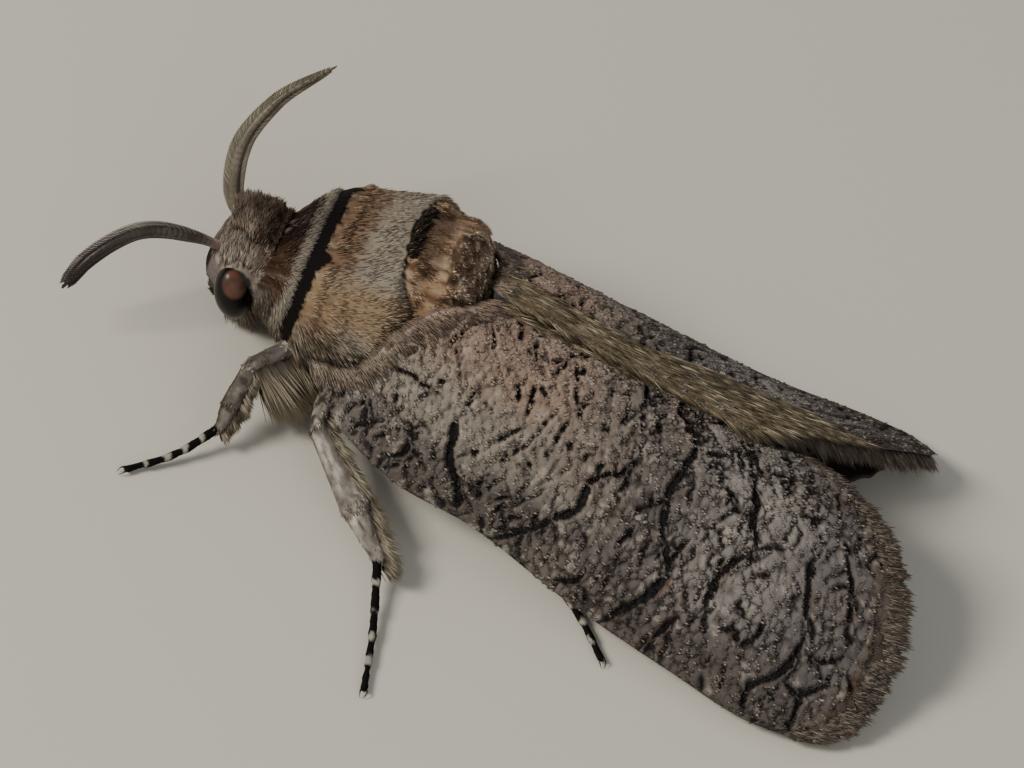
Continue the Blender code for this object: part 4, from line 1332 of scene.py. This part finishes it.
LEFT_WING = {
    "inner": [(0.2, -1.55, 5.75), (0.2, 2.0, 5.4), (-0.1, 5.5, 4.8), (-1.05, 8.6, 3.6)],
    "outer": [
        (3.5, -6.3, 3.0),
        (5.0, -4.5, 2.5),
        (5.7, -2.2, 1.9),
        (5.85, 0.6, 1.63),
        (6.6, 4.2, 1.12),
        (7.3, 8.3, 0.8),
        (7.7, 11.2, 0.62),
        (7.5, 13.0, 0.58),
    ],
    "root": [
        (0.2, -1.55, 5.75),
        (1.35, -2.0, 6.3),
        (2.65, -3.1, 6.7),
        (3.5, -3.9, 6.0),
        (4.1, -4.7, 4.2),
        (3.5, -6.3, 3.0),
    ],
    "margin": [
        (-1.05, 8.6, 3.6),
        (-0.4, 10.6, 4.0),
        (0.9, 13.0, 3.7),
        (2.9, 14.5, 2.6),
        (5.0, 14.75, 1.4),
        (6.75, 14.1, 0.68),
        (7.5, 13.0, 0.58),
    ],
    "fade": 3,
    "bulge": 0.3,
}
RIGHT_WING = {
    "inner": [(0.1, -1.55, 6.05), (0.35, 1.0, 5.95), (0.45, 4.0, 5.65), (0.5, 7.2, 5.25)],
    "outer": [
        (-3.5, -6.3, 3.0),
        (-4.9, -4.4, 2.5),
        (-5.85, -2.0, 1.7),
        (-6.2, 0.8, 1.2),
        (-6.3, 4.3, 0.85),
        (-6.35, 8.1, 0.62),
        (-6.6, 11.2, 0.55),
        (-6.6, 12.6, 0.55),
    ],
    "root": [(0.1, -1.55, 6.05), (-2.2, -2.1, 5.3), (-3.0, -3.9, 4.4), (-3.5, -6.3, 3.0)],
    "margin": [
        (0.5, 7.2, 5.25),
        (-1.0, 9.2, 4.6),
        (-2.6, 11.3, 3.6),
        (-4.3, 12.9, 2.4),
        (-5.7, 13.6, 1.2),
        (-6.6, 12.6, 0.55),
    ],
    "fade": 1,
    "bulge": -0.1,
}
SHEET_STEPS = 401
SHEET_ROWS = 161
# The underside has one point for every four of the top's each way.
UNDERSIDE_SHARE = 4
# How deep the membrane lies under the tops of its scales, and how thick it is.
MEMBRANE_DEPTH = 0.08
MEMBRANE_THICKNESS = 0.14
# How wide the bark's plates are, and how much shorter they are along the wing.
PLATE = 0.4
PLATE_STRETCH = 1.5

# The wide black cracks, by their pixels in the photograph: (width in mm, points).
CRACKS = [
    (0.24, [(457, 415), (454, 439), (449, 450), (451, 466), (458, 488), (458, 504), (449, 506)]),
    (
        0.22,
        [(487, 540), (512, 533), (536, 529), (557, 518), (576, 512), (584, 498), (589, 485), (603, 475),
         (621, 475), (632, 466), (646, 461)],
    ),
    (
        0.25,
        [(685, 394), (683, 410), (695, 425), (698, 441), (689, 466), (675, 486), (665, 512), (665, 536),
         (667, 572), (652, 592), (632, 605), (612, 615), (596, 625)],
    ),
    (
        0.22,
        [(752, 446), (755, 476), (757, 503), (755, 526), (757, 549), (742, 556), (725, 569), (712, 589),
         (707, 612), (705, 632)],
    ),
    (0.16, [(679, 615), (659, 632), (645, 652), (639, 657)]),
    (0.2, [(803, 645), (791, 665), (771, 678), (748, 688), (743, 712)]),
    (0.15, [(824, 549), (811, 566), (810, 592), (806, 612), (815, 632), (813, 642)]),
    (0.12, [(848, 552), (853, 579), (851, 612), (849, 642)]),
    (0.13, [(805, 655), (828, 662), (844, 657)]),
    (0.13, [(785, 678), (795, 692), (811, 692), (828, 685), (831, 675)]),
    (0.12, [(805, 693), (795, 712), (793, 728)]),
    (0.1, [(703, 672), (700, 692)]),
    (0.12, [(553, 592), (556, 582), (576, 581), (586, 569)]),
    (0.18, [(352, 425), (364, 426), (375, 418)]),
    (0.18, [(383, 457), (396, 457), (407, 447), (407, 439)]),
    (0.12, [(367, 363), (388, 367), (415, 380), (445, 399)]),
    (0.17, [(589, 350), (573, 355), (565, 364), (556, 375)]),
    (0.13, [(648, 378), (648, 407)]),
    (0.15, [(659, 429), (660, 434)]),
    (0.12, [(525, 311), (522, 340)]),
    (0.12, [(518, 383), (520, 402)]),
    (0.12, [(538, 386), (533, 399), (536, 407)]),
    (0.1, [(560, 407), (546, 426), (528, 445), (506, 461)]),
    (0.12, [(632, 466), (625, 485), (619, 493)]),
    (0.13, [(766, 620), (754, 640), (737, 646)]),
    (0.12, [(707, 609), (714, 586), (737, 560), (757, 551), (789, 549)]),
    (0.12, [(754, 506), (751, 534)]),
    (0.12, [(635, 525), (616, 549)]),
]
SHORT_CRACKS = 430

WING_PINK = linear("#97806e")
WING_PALE = linear("#8a8072")
WING_WARM = linear("#7d7064")
WING_GREY = linear("#625a53")
WING_OUTER = linear("#847c74")
WING_TIP = linear("#615a56")
WING_COSTA_PAINTED_SHADE = linear("#544b43")
WING_MARGIN = linear("#64574a")
WING_PALE_AND_GLINT = linear("#c4b8a8")
WING_DARK = linear("#2e2620")
CRACK_BLACK = linear("#0b0807")
CRACK_RUST = linear("#573a27")


def wing_patch(inner, outer, root, margin, along, across, fade=1):
    """A surface between inner and outer, which its ends bend towards root and margin."""
    u = np.asarray(along, float)[..., None]
    v = np.asarray(across, float)[..., None]
    between_sides = (1 - v) * spline(inner, along) + v * spline(outer, along)
    root_bend = spline(root, across) - (1 - v) * np.array(root[0]) - v * np.array(root[-1])
    margin_bend = spline(margin, across) - (1 - v) * np.array(margin[0]) - v * np.array(margin[-1])
    return between_sides + (1 - u) ** fade * root_bend + u * margin_bend


def wing_surface(wing, along, across):
    """The top of a forewing, bulged from the flat between its edges."""
    along = np.asarray(along, float)
    across = np.asarray(across, float)
    curves = (wing["inner"], wing["outer"], wing["root"], wing["margin"])
    span = wing_patch(*curves, along, across, wing["fade"])
    rise = wing["bulge"] * np.sin(math.pi * np.clip(along, 0, 1)) ** 0.5 * 4 * across * (1 - across)
    chord = np.array(wing["outer"][4]) - np.array(wing["inner"][2])
    outward_way = unit(np.cross(chord, (0, 1, 0)) * np.sign(chord[0]))
    return span + rise[..., None] * outward_way


def wing_frame(wing, along, across):
    """Place, way to the margin, and way out of the wing, at these shares of its length and width."""
    step = 0.004
    here = wing_surface(wing, along, across)
    low, high = np.clip(along - step, 0, 1), np.clip(along + step, 0, 1)
    ahead = wing_surface(wing, high, across) - wing_surface(wing, low, across)
    low, high = np.clip(across - step, 0, 1), np.clip(across + step, 0, 1)
    aside = wing_surface(wing, along, high) - wing_surface(wing, along, low)
    out = unit(np.cross(ahead, aside))
    return here, unit(ahead), out * np.sign(out[..., 2:3])


def search_tree(points):
    """A tree that finds the nearest of these points."""
    tree = KDTree(len(points))
    for k, point in enumerate(points):
        tree.insert(point, k)
    tree.balance()
    return tree


def crack_paths():
    """Each crack as (width, shares along and across the wing), found under its pixels."""
    along, across = np.meshgrid(np.linspace(0.0, 1, 420), np.linspace(0, 1, 180), indexing="ij")
    surface = wing_surface(LEFT_WING, along, across).reshape(-1, 3)
    seen = pixels_of(surface)
    tree = search_tree(np.c_[seen, np.zeros(len(seen))])
    shares = np.stack([along.reshape(-1), across.reshape(-1)], 1)
    paths = []
    for width, pixels in CRACKS:
        pixels = np.array(pixels, float)
        run = np.linalg.norm(np.diff(pixels, axis=0), axis=1).sum()
        t = np.linspace(0, 1, max(4, int(run / 2)))
        line = spline(pixels, t) if len(pixels) > 2 else pixels[0] + np.outer(t, pixels[1] - pixels[0])
        flat = np.c_[line, np.zeros(len(line))]
        line = line + 1.9 * np.stack([lumps(flat, 8.0, 20), lumps(flat, 8.0, 29)], 1)
        found = np.array([shares[tree.find((x, y, 0))[1]] for x, y in line])
        padded = np.pad(found, ((2, 2), (0, 0)), mode="edge")
        found = np.stack([np.convolve(padded[:, c], np.ones(5) / 5, mode="valid") for c in (0, 1)], 1)
        paths.append((width, found))
    tree = search_tree(surface)
    down = unit((np.array(LEFT_WING["outer"][4]) - LEFT_WING["inner"][2]) * (1, 0, 1))
    t = np.linspace(0, 1, 14)
    for start in surface[chance.integers(0, len(surface), SHORT_CRACKS)]:
        reach = 0.25 + 1.0 * chance.random() ** 2
        wander = np.cumsum(chance.normal(0, 0.06, 14)) + chance.normal(0, 0.35) * t * reach
        line = start + np.outer(t * reach, down) + np.outer(wander, (0.0, 1.0, 0.0))
        found = np.array([shares[tree.find(place)[1]] for place in line])
        padded = np.pad(found, ((1, 1), (0, 0)), mode="edge")
        found = np.stack([np.convolve(padded[:, c], np.ones(3) / 3, mode="valid") for c in (0, 1)], 1)
        paths.append((0.05 + 0.08 * chance.random() ** 2, found))
    return paths


crack_lines = crack_paths()


def crack_places(wing):
    """Points along the cracks on a wing, with the width there and their shares of the wing."""
    places = []
    widths = []
    spots = []
    for width, shares in crack_lines:
        line = wing_surface(wing, shares[:, 0], shares[:, 1])
        steps = max(2, int(np.linalg.norm(np.diff(line, axis=0), axis=1).sum() / 0.03))
        t = np.linspace(0, len(line) - 1, steps)
        every = np.arange(len(line))
        dense = np.stack([np.interp(t, every, line[:, c]) for c in range(3)], 1)
        taper = np.minimum(1, 3.5 * np.minimum(t, t[::-1]) / len(line) + 0.35)
        places.append(dense)
        widths.append(1.2 * width * taper * (1 + 0.4 * lumps(dense, 0.12, 21)))
        spots.append(np.stack([np.interp(t, every, shares[:, c]) for c in (0, 1)], 1))
    return np.concatenate(places), np.concatenate(widths), np.concatenate(spots)


def chart(wing, points):
    """A flat map of a wing, drawn out along it so that the bark's plates are short that way."""
    chord = unit((np.array(wing["outer"][4]) - wing["inner"][2]) * (1, 0, 1))
    return np.stack([PLATE_STRETCH * points[:, 1], points @ chord, np.zeros(len(points))], 1)


def wing_relief(wing):
    """Everything that shapes and colours a wing: its cracks and its grains, in search trees."""
    places, widths, spots = crack_places(wing)
    shape = (int(19 * PLATE_STRETCH / PLATE), int(9.5 / PLATE))
    i, k = np.meshgrid(np.arange(shape[0]), np.arange(shape[1]), indexing="ij")
    grid = (np.stack([i.reshape(-1), k.reshape(-1)], 1) + chance.random((i.size, 2))) / shape
    grains = chart(wing, wing_surface(wing, grid[:, 0], grid[:, 1]))
    return {
        "wing": wing,
        "cracks": search_tree(places),
        "widths": widths,
        "crack_places": places,
        "crack_spots": spots,
        "grains": search_tree(grains),
        "grain_shades": chance.random(len(grains)),
    }


def crack_gaps(points, relief):
    """How far points are from the edge of the nearest crack, negative inside it, and its width."""
    found = [relief["cracks"].find(point) for point in points]
    widths = relief["widths"][[f[1] for f in found]]
    return np.array([f[2] for f in found]) - widths / 2, widths


def wing_zones(points, along, across, right):
    """The wing's ground colours, pinkish at the base and with painted shade along the costa, and how grey
    each place is, from 0 to 1.
    """
    grey = np.maximum(smooth(along, 0.4, 0.52), smooth(across, 0.66, 0.8))
    base = mix(WING_PINK, WING_PALE, smooth(across, 0.4, 0.6))
    base = mix(base, WING_WARM, smooth(along, 0.28, 0.4) * smooth(across, 0.75, 0.6))
    colour = mix(base, WING_GREY, grey)
    colour = mix(colour, WING_OUTER, smooth(along, 0.55, 0.68) * smooth(across, 0.95, 0.7))
    colour = mix(colour, WING_TIP, smooth(along + 0.25 * across, 0.88, 1.03))
    # Painted shade darkens the costal side of the wing, beyond its base.
    colour = mix(colour, WING_COSTA_PAINTED_SHADE, smooth(across, 0.72, 0.9) * smooth(along, 0.12, 0.25) * 0.9)
    colour = mix(colour, WING_MARGIN, smooth(along, 0.93, 0.955))
    colour = mix(colour, WING_DARK, smooth(along, 0.945, 0.96) * 0.7)
    warm = smooth(lumps(points, 2.3, 27), 0.1, 0.8)
    return mix(colour, WING_WARM, warm * 0.4 * (1 - 0.5 * right)), grey


def wing_marks(points, along, across, relief, right):
    """Height of the bark above the membrane, in mm, its colour with painted shade and highlights, and the gap
    to the nearest crack.
    """
    gaps, widths = crack_gaps(points, relief)
    warp = 0.07 * np.stack([lumps(points, 0.16, 61), lumps(points, 0.16, 62), np.zeros(len(points))], 1)
    pairs = [relief["grains"].find_n(point, 2) for point in chart(relief["wing"], points) + warp]
    near = np.array([pair[0][2] for pair in pairs])
    seam = np.array([pair[1][2] for pair in pairs]) - near
    shade = relief["grain_shades"][[pair[0][1] for pair in pairs]]
    colour, grey = wing_zones(points, along, across, right)

    # The height: broad swells, domed plates with seams between them, and sunk cracks with lips.
    big = lumps(points, 0.75, 22)
    medium = lumps(points, 0.3, 23)
    small = lumps(points, 0.1, 24)
    dome = 1 - np.minimum(near / (0.62 * PLATE), 1.3) ** 2
    split = smooth(seam, 0.12, 0.02) * smooth(lumps(points, 0.6, 26), -0.4, 0.2) * (0.3 + 0.7 * grey)
    wide = smooth(widths, 0.06, 0.14)
    deep = np.maximum(wide, 0.35 + 0.5 * grey)
    height = 0.04 * big + 0.02 * medium + 0.014 * small + 0.032 * dome - 0.05 * split
    height -= 0.13 * deep * np.exp(-((np.maximum(gaps, 0) / 0.045) ** 2))
    height += 0.03 * wide * np.exp(-(((gaps - 0.12) / 0.07) ** 2))

    # The colour: painted highlights make the swells and domed plates paler, with pale grains and
    # painted glints on the tops, and painted shade darkens the hollows. The seams are dark, and rust
    # lies beside the wide cracks.
    colour = colour * (0.86 + 0.2 * dome + 0.14 * medium)[:, None]
    colour = mix(colour, WING_PALE_AND_GLINT, smooth(medium + 0.7 * small + (shade - 0.5), 0.4, 1.2) * 0.4)
    painted_hollow_shade = smooth(medium + 0.5 * small - 0.4 * dome, 0.2, 1.1)
    colour = mix(colour, WING_DARK, painted_hollow_shade * (0.3 + 0.3 * grey))
    colour = mix(colour, WING_DARK, split * 0.9)
    rust = np.exp(-(((gaps - 0.05) / 0.06) ** 2)) * smooth(lumps(points, 1.1, 28), 0.0, 0.6)
    colour = mix(colour, CRACK_RUST, rust * wide * 0.7)
    colour = mix(colour, CRACK_BLACK, smooth(gaps, 0.025, -0.015) * (0.2 + 0.8 * deep))
    return height, colour, gaps


def rim_of(steps, rows):
    """The places round the edge of a grid, in order."""
    rim = list(range(rows))
    rim += [k * rows + rows - 1 for k in range(1, steps)]
    rim += [(steps - 1) * rows + k for k in range(rows - 2, -1, -1)]
    rim += [k * rows for k in range(steps - 2, 0, -1)]
    return np.array(rim)


def grid_faces(steps, rows):
    """Two triangles for each cell of a grid."""
    i, k = np.meshgrid(np.arange(steps - 1), np.arange(rows - 1), indexing="ij")
    a = (i * rows + k).reshape(-1)
    return np.concatenate(
        [np.stack([a, a + 1, a + rows + 1], 1), np.stack([a, a + rows + 1, a + rows], 1)]
    )


def sheet(name, top, bottom):
    """A closed sheet between two grids of points, whose lower one may be several times coarser."""
    steps, rows = top.shape[:2]
    share = (steps - 1) // (bottom.shape[0] - 1)
    below = steps * rows
    lower = grid_faces(*bottom.shape[:2])[:, ::-1] + below
    fine = rim_of(steps, rows)
    coarse = rim_of(*bottom.shape[:2]) + below
    every = np.arange(len(fine))
    each = np.arange(len(coarse))
    wall = np.stack([fine, coarse[every // share], np.roll(fine, -1)], 1)
    foot = np.stack([fine[(share * (each + 1)) % len(fine)], coarse, np.roll(coarse, -1)], 1)
    points = np.concatenate([top.reshape(-1, 3), bottom.reshape(-1, 3)])
    faces = np.concatenate([grid_faces(steps, rows), lower, wall, foot])
    made = bpy.data.objects.new(name, triangle_mesh(name, points, outward(points, faces)))
    bpy.context.collection.objects.link(made)
    return made


def edge_fade(u, v):
    """0 at a wing's edges, where the bark runs out, and 1 a little inside them."""
    return smooth(np.minimum(np.minimum(v, 1 - v) * 14, (1 - u) * 28), 0, 1)


def build_membrane(word, wing, relief):
    """The wing's own sheet, raised into bark on top and plain below."""
    u, v = np.meshgrid(np.linspace(0, 1, SHEET_STEPS), np.linspace(0, 1, SHEET_ROWS), indexing="ij")
    place, _, out = wing_frame(wing, u, v)
    height, colour, _ = wing_marks(
        place.reshape(-1, 3), u.reshape(-1), v.reshape(-1), relief, word == "right"
    )
    raised = height.reshape(u.shape) * edge_fade(u, v) - MEMBRANE_DEPTH
    sunk = MEMBRANE_DEPTH + 0.05 + MEMBRANE_THICKNESS * (0.3 + 0.7 * edge_fade(u, v))
    few = slice(None, None, UNDERSIDE_SHARE)
    bottom = (place - out * sunk[..., None])[few, few]
    made = sheet("membrane_" + word, place + out * raised[..., None], bottom)
    under = np.tile(WING_GREY, (bottom.shape[0] * bottom.shape[1], 1))
    add_tint(made.data, np.concatenate([colour * 0.85, under]))
    finish_piece(made, WING_SKIN)
    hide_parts("forewing_" + word)


def build_scales(name, wing, relief, count, low, high, right):
    """Scales on a wing between two shares of its width, in overlapping rows towards the margin."""
    u = chance.random(count)
    v = low + (high - low) * chance.random(count)
    place, ahead, out = wing_frame(wing, u, v)
    height, colour, gaps = wing_marks(place, u, v, relief, right)
    roots = place + out * (height * edge_fade(u, v) - MEMBRANE_DEPTH - 0.01)[:, None]
    lift = chance.uniform(0.03, 0.13, count)
    lies = unit(ahead + chance.normal(0, 0.15, (count, 3)) + out * lift[:, None])
    lengths = chance.uniform(0.12, 0.22, count)
    over_crack = (gaps < 0.02) | (crack_gaps(place + lies * lengths[:, None], relief)[0] < 0.01)
    lengths = np.where(over_crack, 0.3 * lengths, lengths)
    speck = chance.random(count)
    # A few scales are paler, partly pale scales and partly painted glints, away from the cracks; a few others
    # are darker.
    tint = mix(colour, WING_PALE_AND_GLINT, (speck > 0.86) * 0.4 * smooth(gaps, 0.02, 0.1))
    tint = mix(tint, WING_DARK, (speck < 0.15) * 0.45)
    places = np.stack([0.02 + 0.96 * u, 0.02 + 0.96 * v], 1)
    piece = blades(
        name, roots, lies, out, lengths, chance.uniform(0.06, 0.11, count), np.full(count, 0.12), places,
        tint * 0.8, tint * 1.05,
    )
    finish_piece(piece, WING_SCALES)


CRACK_SCALES = 4200


def build_crack_scales(word, wing, relief):
    """Raised black scales rooted along the wide cracks."""
    inside = (relief["crack_spots"][:, 1] > 0.03) & (relief["crack_spots"][:, 1] < 0.95)
    wide = np.flatnonzero((relief["widths"] > 0.08) & inside)
    pick = wide[chance.integers(0, len(wide), CRACK_SCALES)]
    u, v = np.clip(relief["crack_spots"][pick] + chance.normal(0, 0.0022, (CRACK_SCALES, 2)), 0, 1).T
    place, ahead, out = wing_frame(wing, u, v)
    lies = unit(ahead + chance.normal(0, 0.5, (CRACK_SCALES, 3)) + out * 0.35)
    tint = mix(CRACK_BLACK, CRACK_RUST, chance.random(CRACK_SCALES) ** 4 * 0.5)
    piece = blades(
        "crack_scales_" + word, place - out * (MEMBRANE_DEPTH + 0.1), lies, out,
        chance.uniform(0.07, 0.13, CRACK_SCALES), np.full(CRACK_SCALES, 0.05),
        np.full(CRACK_SCALES, 0.1), np.stack([0.02 + 0.96 * u, 0.02 + 0.96 * v], 1), tint, tint,
    )
    finish_piece(piece, WING_SCALES)


FRINGE_SCALES = 5200
FRINGE_ROOTS = 0.955
FRINGE_BROWN = linear("#756555")


def build_fringe(word, wing, reach, fall):
    """The fringe: rows of long scales along the outer margin, in small ragged teeth."""
    count = FRINGE_SCALES
    v = chance.random(count)
    u = FRINGE_ROOTS + (0.99 - FRINGE_ROOTS) * chance.random(count)
    place, ahead, out = wing_frame(wing, u, v)
    tooth = lumps(np.stack([v * 70, u * 0, u * 0], 1), 1.0, 30)
    lengths = reach * (0.75 + 0.3 * tooth) * chance.uniform(0.6, 1.1, count)
    roots = place - out * (MEMBRANE_DEPTH + 0.08 * chance.random(count))[:, None]
    lies = unit(ahead + chance.normal(0, 0.09, (count, 3)) + out * 0.06 - np.array((0, 0, fall)))
    colour = mix(FRINGE_BROWN, WING_DARK, smooth(tooth, 0.1, -0.7) * 0.8)
    colour = mix(colour, WING_PALE_AND_GLINT, chance.random(count) ** 2 * 0.4)
    piece = blades(
        "fringe_" + word, roots, lies, out, lengths, chance.uniform(0.04, 0.08, count),
        np.full(count, 0.05), np.stack([0.5 + (u - 1) * 8, 0.02 + 0.96 * v], 1), colour * 0.35, colour,
    )
    finish_piece(piece, WING_SCALES)


STRIP_OLIVE = linear("#75664b")
STRIP_DARK = linear("#2c2419")
STRIP_PAINTED_GLINT = linear("#c9bc9f")


def build_strip(word, wing, count, breadth, flare, droop):
    """Long glossy hairs along the inner edge, which close the roof's ridge, streaked with painted pale
    glints.
    """
    u = chance.random(count) ** 0.9 * 0.99
    v = chance.random(count) ** 1.3 * breadth * (1 + flare * smooth(u, 0.4, 0.85))
    place, ahead, out = wing_frame(wing, u, v)
    lock = lumps(np.stack([u * 28, v * 70, v * 0], 1), 1.0, 31)
    over_edge = np.array(droop) * np.maximum(1 - v / breadth, 0)[:, None]
    stray = chance.normal(0, 0.06, (count, 3))
    lies = unit(ahead + over_edge * (0.6 + 0.5 * lock)[:, None] + out * (0.06 + 0.06 * lock)[:, None] + stray)
    lengths = (0.95 + 0.3 * lock) * chance.uniform(0.7, 1.15, count)
    # Painted pale glints streak the hair in locks, and some locks are dark.
    painted_glint = smooth(lock + chance.normal(0, 0.35, count), 0.2, 1.0)
    colour = mix(STRIP_OLIVE, STRIP_PAINTED_GLINT, painted_glint * 0.8)
    colour = mix(colour, STRIP_DARK, smooth(lock, -0.1, -0.7) * 0.7)
    piece = blades(
        "ridge_hairs_" + word, place - out * 0.04, lies, out, lengths, np.full(count, 0.05),
        np.full(count, 0.04), np.stack([0.02 + 0.9 * u, 0.05 + 4 * v], 1), colour * 0.6, colour,
    )
    finish_piece(piece, STRIP)


def build_root_hairs(word, wing, count, pale, dark):
    """Soft hair that hides the joint between wing and body."""
    v = chance.random(count)
    u = chance.random(count) * (0.03 - 0.01 * smooth(v, 0.5, 0.7))
    place, ahead, out = wing_frame(wing, u, v)
    place = place - ahead * 0.3 * chance.random((count, 1))
    lock = lumps(place, 0.25, 33)
    lies = unit(ahead + chance.normal(0, 0.12, (count, 3)) + out * (0.1 + 0.1 * lock)[:, None])
    body = mix(mix(THORAX_SIDE, pale, np.full(count, 0.4)), THORAX_SIDE, smooth(v, 0.55, 0.75))
    near_back = smooth(v, 0.55, 0.35)
    colour = mix(body, pale, np.maximum(smooth(u, 0.012, 0.03), 0.85 * near_back))
    colour = mix(colour, dark, smooth(lock, 0.1, -0.5) * 0.5)
    piece = blades(
        "root_hairs_" + word, place - out * 0.1, lies, out, chance.uniform(0.35, 0.75, count),
        np.full(count, 0.05), np.full(count, 0.12), np.stack([0.1 + 3 * u, 0.02 + 0.96 * v], 1),
        colour * 0.65, colour,
    )
    finish_piece(piece, HAIR)


# Wing scales are matt and a little dusty; the ridge's hair scales are smooth and catch the light.
WING_SKIN = tinted_material("Matt wing membrane", 0.75, 0.09, 0.1, depth=0.02, specular=0.25)
WING_SCALES = tinted_material("Dusty wing scales", 0.6, 0.07, 0.06, specular=0.3)
STRIP = tinted_material("Olive bronze hair scales", 0.35, 0.08, 0.08, specular=0.5)

# Per side: its curves, how many ridge hairs, their share of the wing's width and how much more of it
# they take at the end, how they droop, the root hairs' pale colour, and the fringe's length and fall.
# The right wing's fringe is longer and hangs at the roof's open end.
for word, wing, hairs, breadth, flare, droop, pale, reach, fall in (
    ("left", LEFT_WING, 4500, 0.06, 0.0, (-0.12, 0, 0.1), WING_PINK, 0.8, 0.0),
    ("right", RIGHT_WING, 9500, 0.16, 2.0, (0.2, 0, -0.35), THORAX_SIDE, 1.35, 1.1),
):
    relief = wing_relief(wing)
    build_membrane(word, wing, relief)
    for part, low, high in (("inner", 0.0, 0.5), ("outer", 0.5, 1.0)):
        build_scales(f"scales_{word}_{part}", wing, relief, 15500, low, high, word == "right")
    build_crack_scales(word, wing, relief)
    build_fringe(word, wing, reach, fall)
    build_strip(word, wing, hairs, breadth, flare, droop)
    build_root_hairs(word, wing, 4600, pale, THORAX_DARK)


# Hindwings. Thin brown membranes pleated and folded flat under the forewings, hinged behind them,
# and darkened with painted shade.

HINDWING_DROP = 0.93
HINDWING_THICKNESS = 0.12
# How much lower the right one hangs at the roof's open end.
RIGHT_SAG = 0.8
# Dark brown, partly the hindwings' own colour and partly painted shade: the right one, drawn out and sagging
# under the roof's open end, fills that hollow with its dark.
HINDWING_BROWN_AND_SHADE = linear("#2f2620")
# The curves round each sheet, as shares along and across the forewing above it: inner, outer,
# root and margin. The right one reaches the roof's open end.
HINDWING_CURVES = {
    "left": (
        [(0.12, 0.53, 0), (0.35, 0.53, 0), (0.62, 0.51, 0), (0.8, 0.5, 0)],
        [(0.1, 0.62, 0), (0.35, 0.77, 0), (0.62, 0.8, 0), (0.8, 0.72, 0)],
        [(0.12, 0.53, 0), (0.1, 0.56, 0), (0.1, 0.62, 0)],
        [(0.8, 0.5, 0), (0.83, 0.61, 0), (0.8, 0.72, 0)],
    ),
    "right": (
        [(0.12, 0.53, 0), (0.4, 0.5, 0), (0.7, 0.42, 0), (0.97, 0.22, 0)],
        [(0.1, 0.62, 0), (0.35, 0.77, 0), (0.62, 0.8, 0), (0.94, 0.8, 0)],
        [(0.12, 0.53, 0), (0.1, 0.56, 0), (0.1, 0.62, 0)],
        [(0.97, 0.22, 0), (0.98, 0.45, 0), (0.94, 0.8, 0)],
    ),
}

for word, wing in (("left", LEFT_WING), ("right", RIGHT_WING)):
    u, v = np.meshgrid(np.linspace(0, 1, 90), np.linspace(0, 1, 40), indexing="ij")
    shares = wing_patch(*HINDWING_CURVES[word], u, v)
    place, _, out = wing_frame(wing, shares[..., 0], shares[..., 1])
    sag = RIGHT_SAG * smooth(u, 0.6, 1.0) * (1 - v) if word == "right" else 0.0
    drop = HINDWING_DROP + 0.2 - 0.06 * np.sin(v * 22) + sag
    top = place - out * drop[..., None]
    made = sheet("hind_membrane_" + word, top, top - out * HINDWING_THICKNESS)
    add_tint(made.data, np.tile(HINDWING_BROWN_AND_SHADE, (len(made.data.vertices), 1)))
    finish_piece(made, WING_SKIN)
    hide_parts("hindwing_" + word)


# Studio. A pale matt floor under soft light from the picture's upper left.

deselect()
bpy.ops.mesh.primitive_plane_add(size=1.6)
floor = bpy.context.active_object
floor.name = "floor"
FLOOR = bpy.data.materials.new("Pale matt floor")
FLOOR.use_nodes = True
FLOOR.node_tree.nodes.clear()
floor_shader = add_node(
    FLOOR.node_tree, "ShaderNodeBsdfPrincipled", {"Base Color": (*linear("#cfc9b9"), 1), "Roughness": 0.85}
)
add_node(FLOOR.node_tree, "ShaderNodeOutputMaterial", {}, {"Surface": floor_shader.outputs["BSDF"]})
floor.data.materials.append(FLOOR)


def add_light(name, way, distance, size, power, colour):
    """A square soft light in metres and watts, turned to the middle of the floor."""
    light = bpy.data.lights.new(name, "AREA")
    light.size = size
    light.energy = power
    light.color = colour
    made = bpy.data.objects.new(name, light)
    bpy.context.collection.objects.link(made)
    way = Vector(way).normalized()
    made.location = way * distance
    made.rotation_euler = way.to_track_quat("Z", "Y").to_euler()


# The key light is a small soft one by the head, and the fill a large weak one by the wings.
add_light("Key", (0.43, -0.64, 0.62), 0.35, 0.1, 1.15, (1.0, 0.97, 0.92))
add_light("Fill", (0.8, 0.5, 0.6), 0.5, 0.4, 0.35, (0.95, 0.97, 1.0))
world = bpy.data.worlds.new("World")
world.use_nodes = True
world.node_tree.nodes["Background"].inputs["Color"].default_value = (0.9, 0.93, 1.0, 1)
world.node_tree.nodes["Background"].inputs["Strength"].default_value = 0.35
bpy.context.scene.world = world
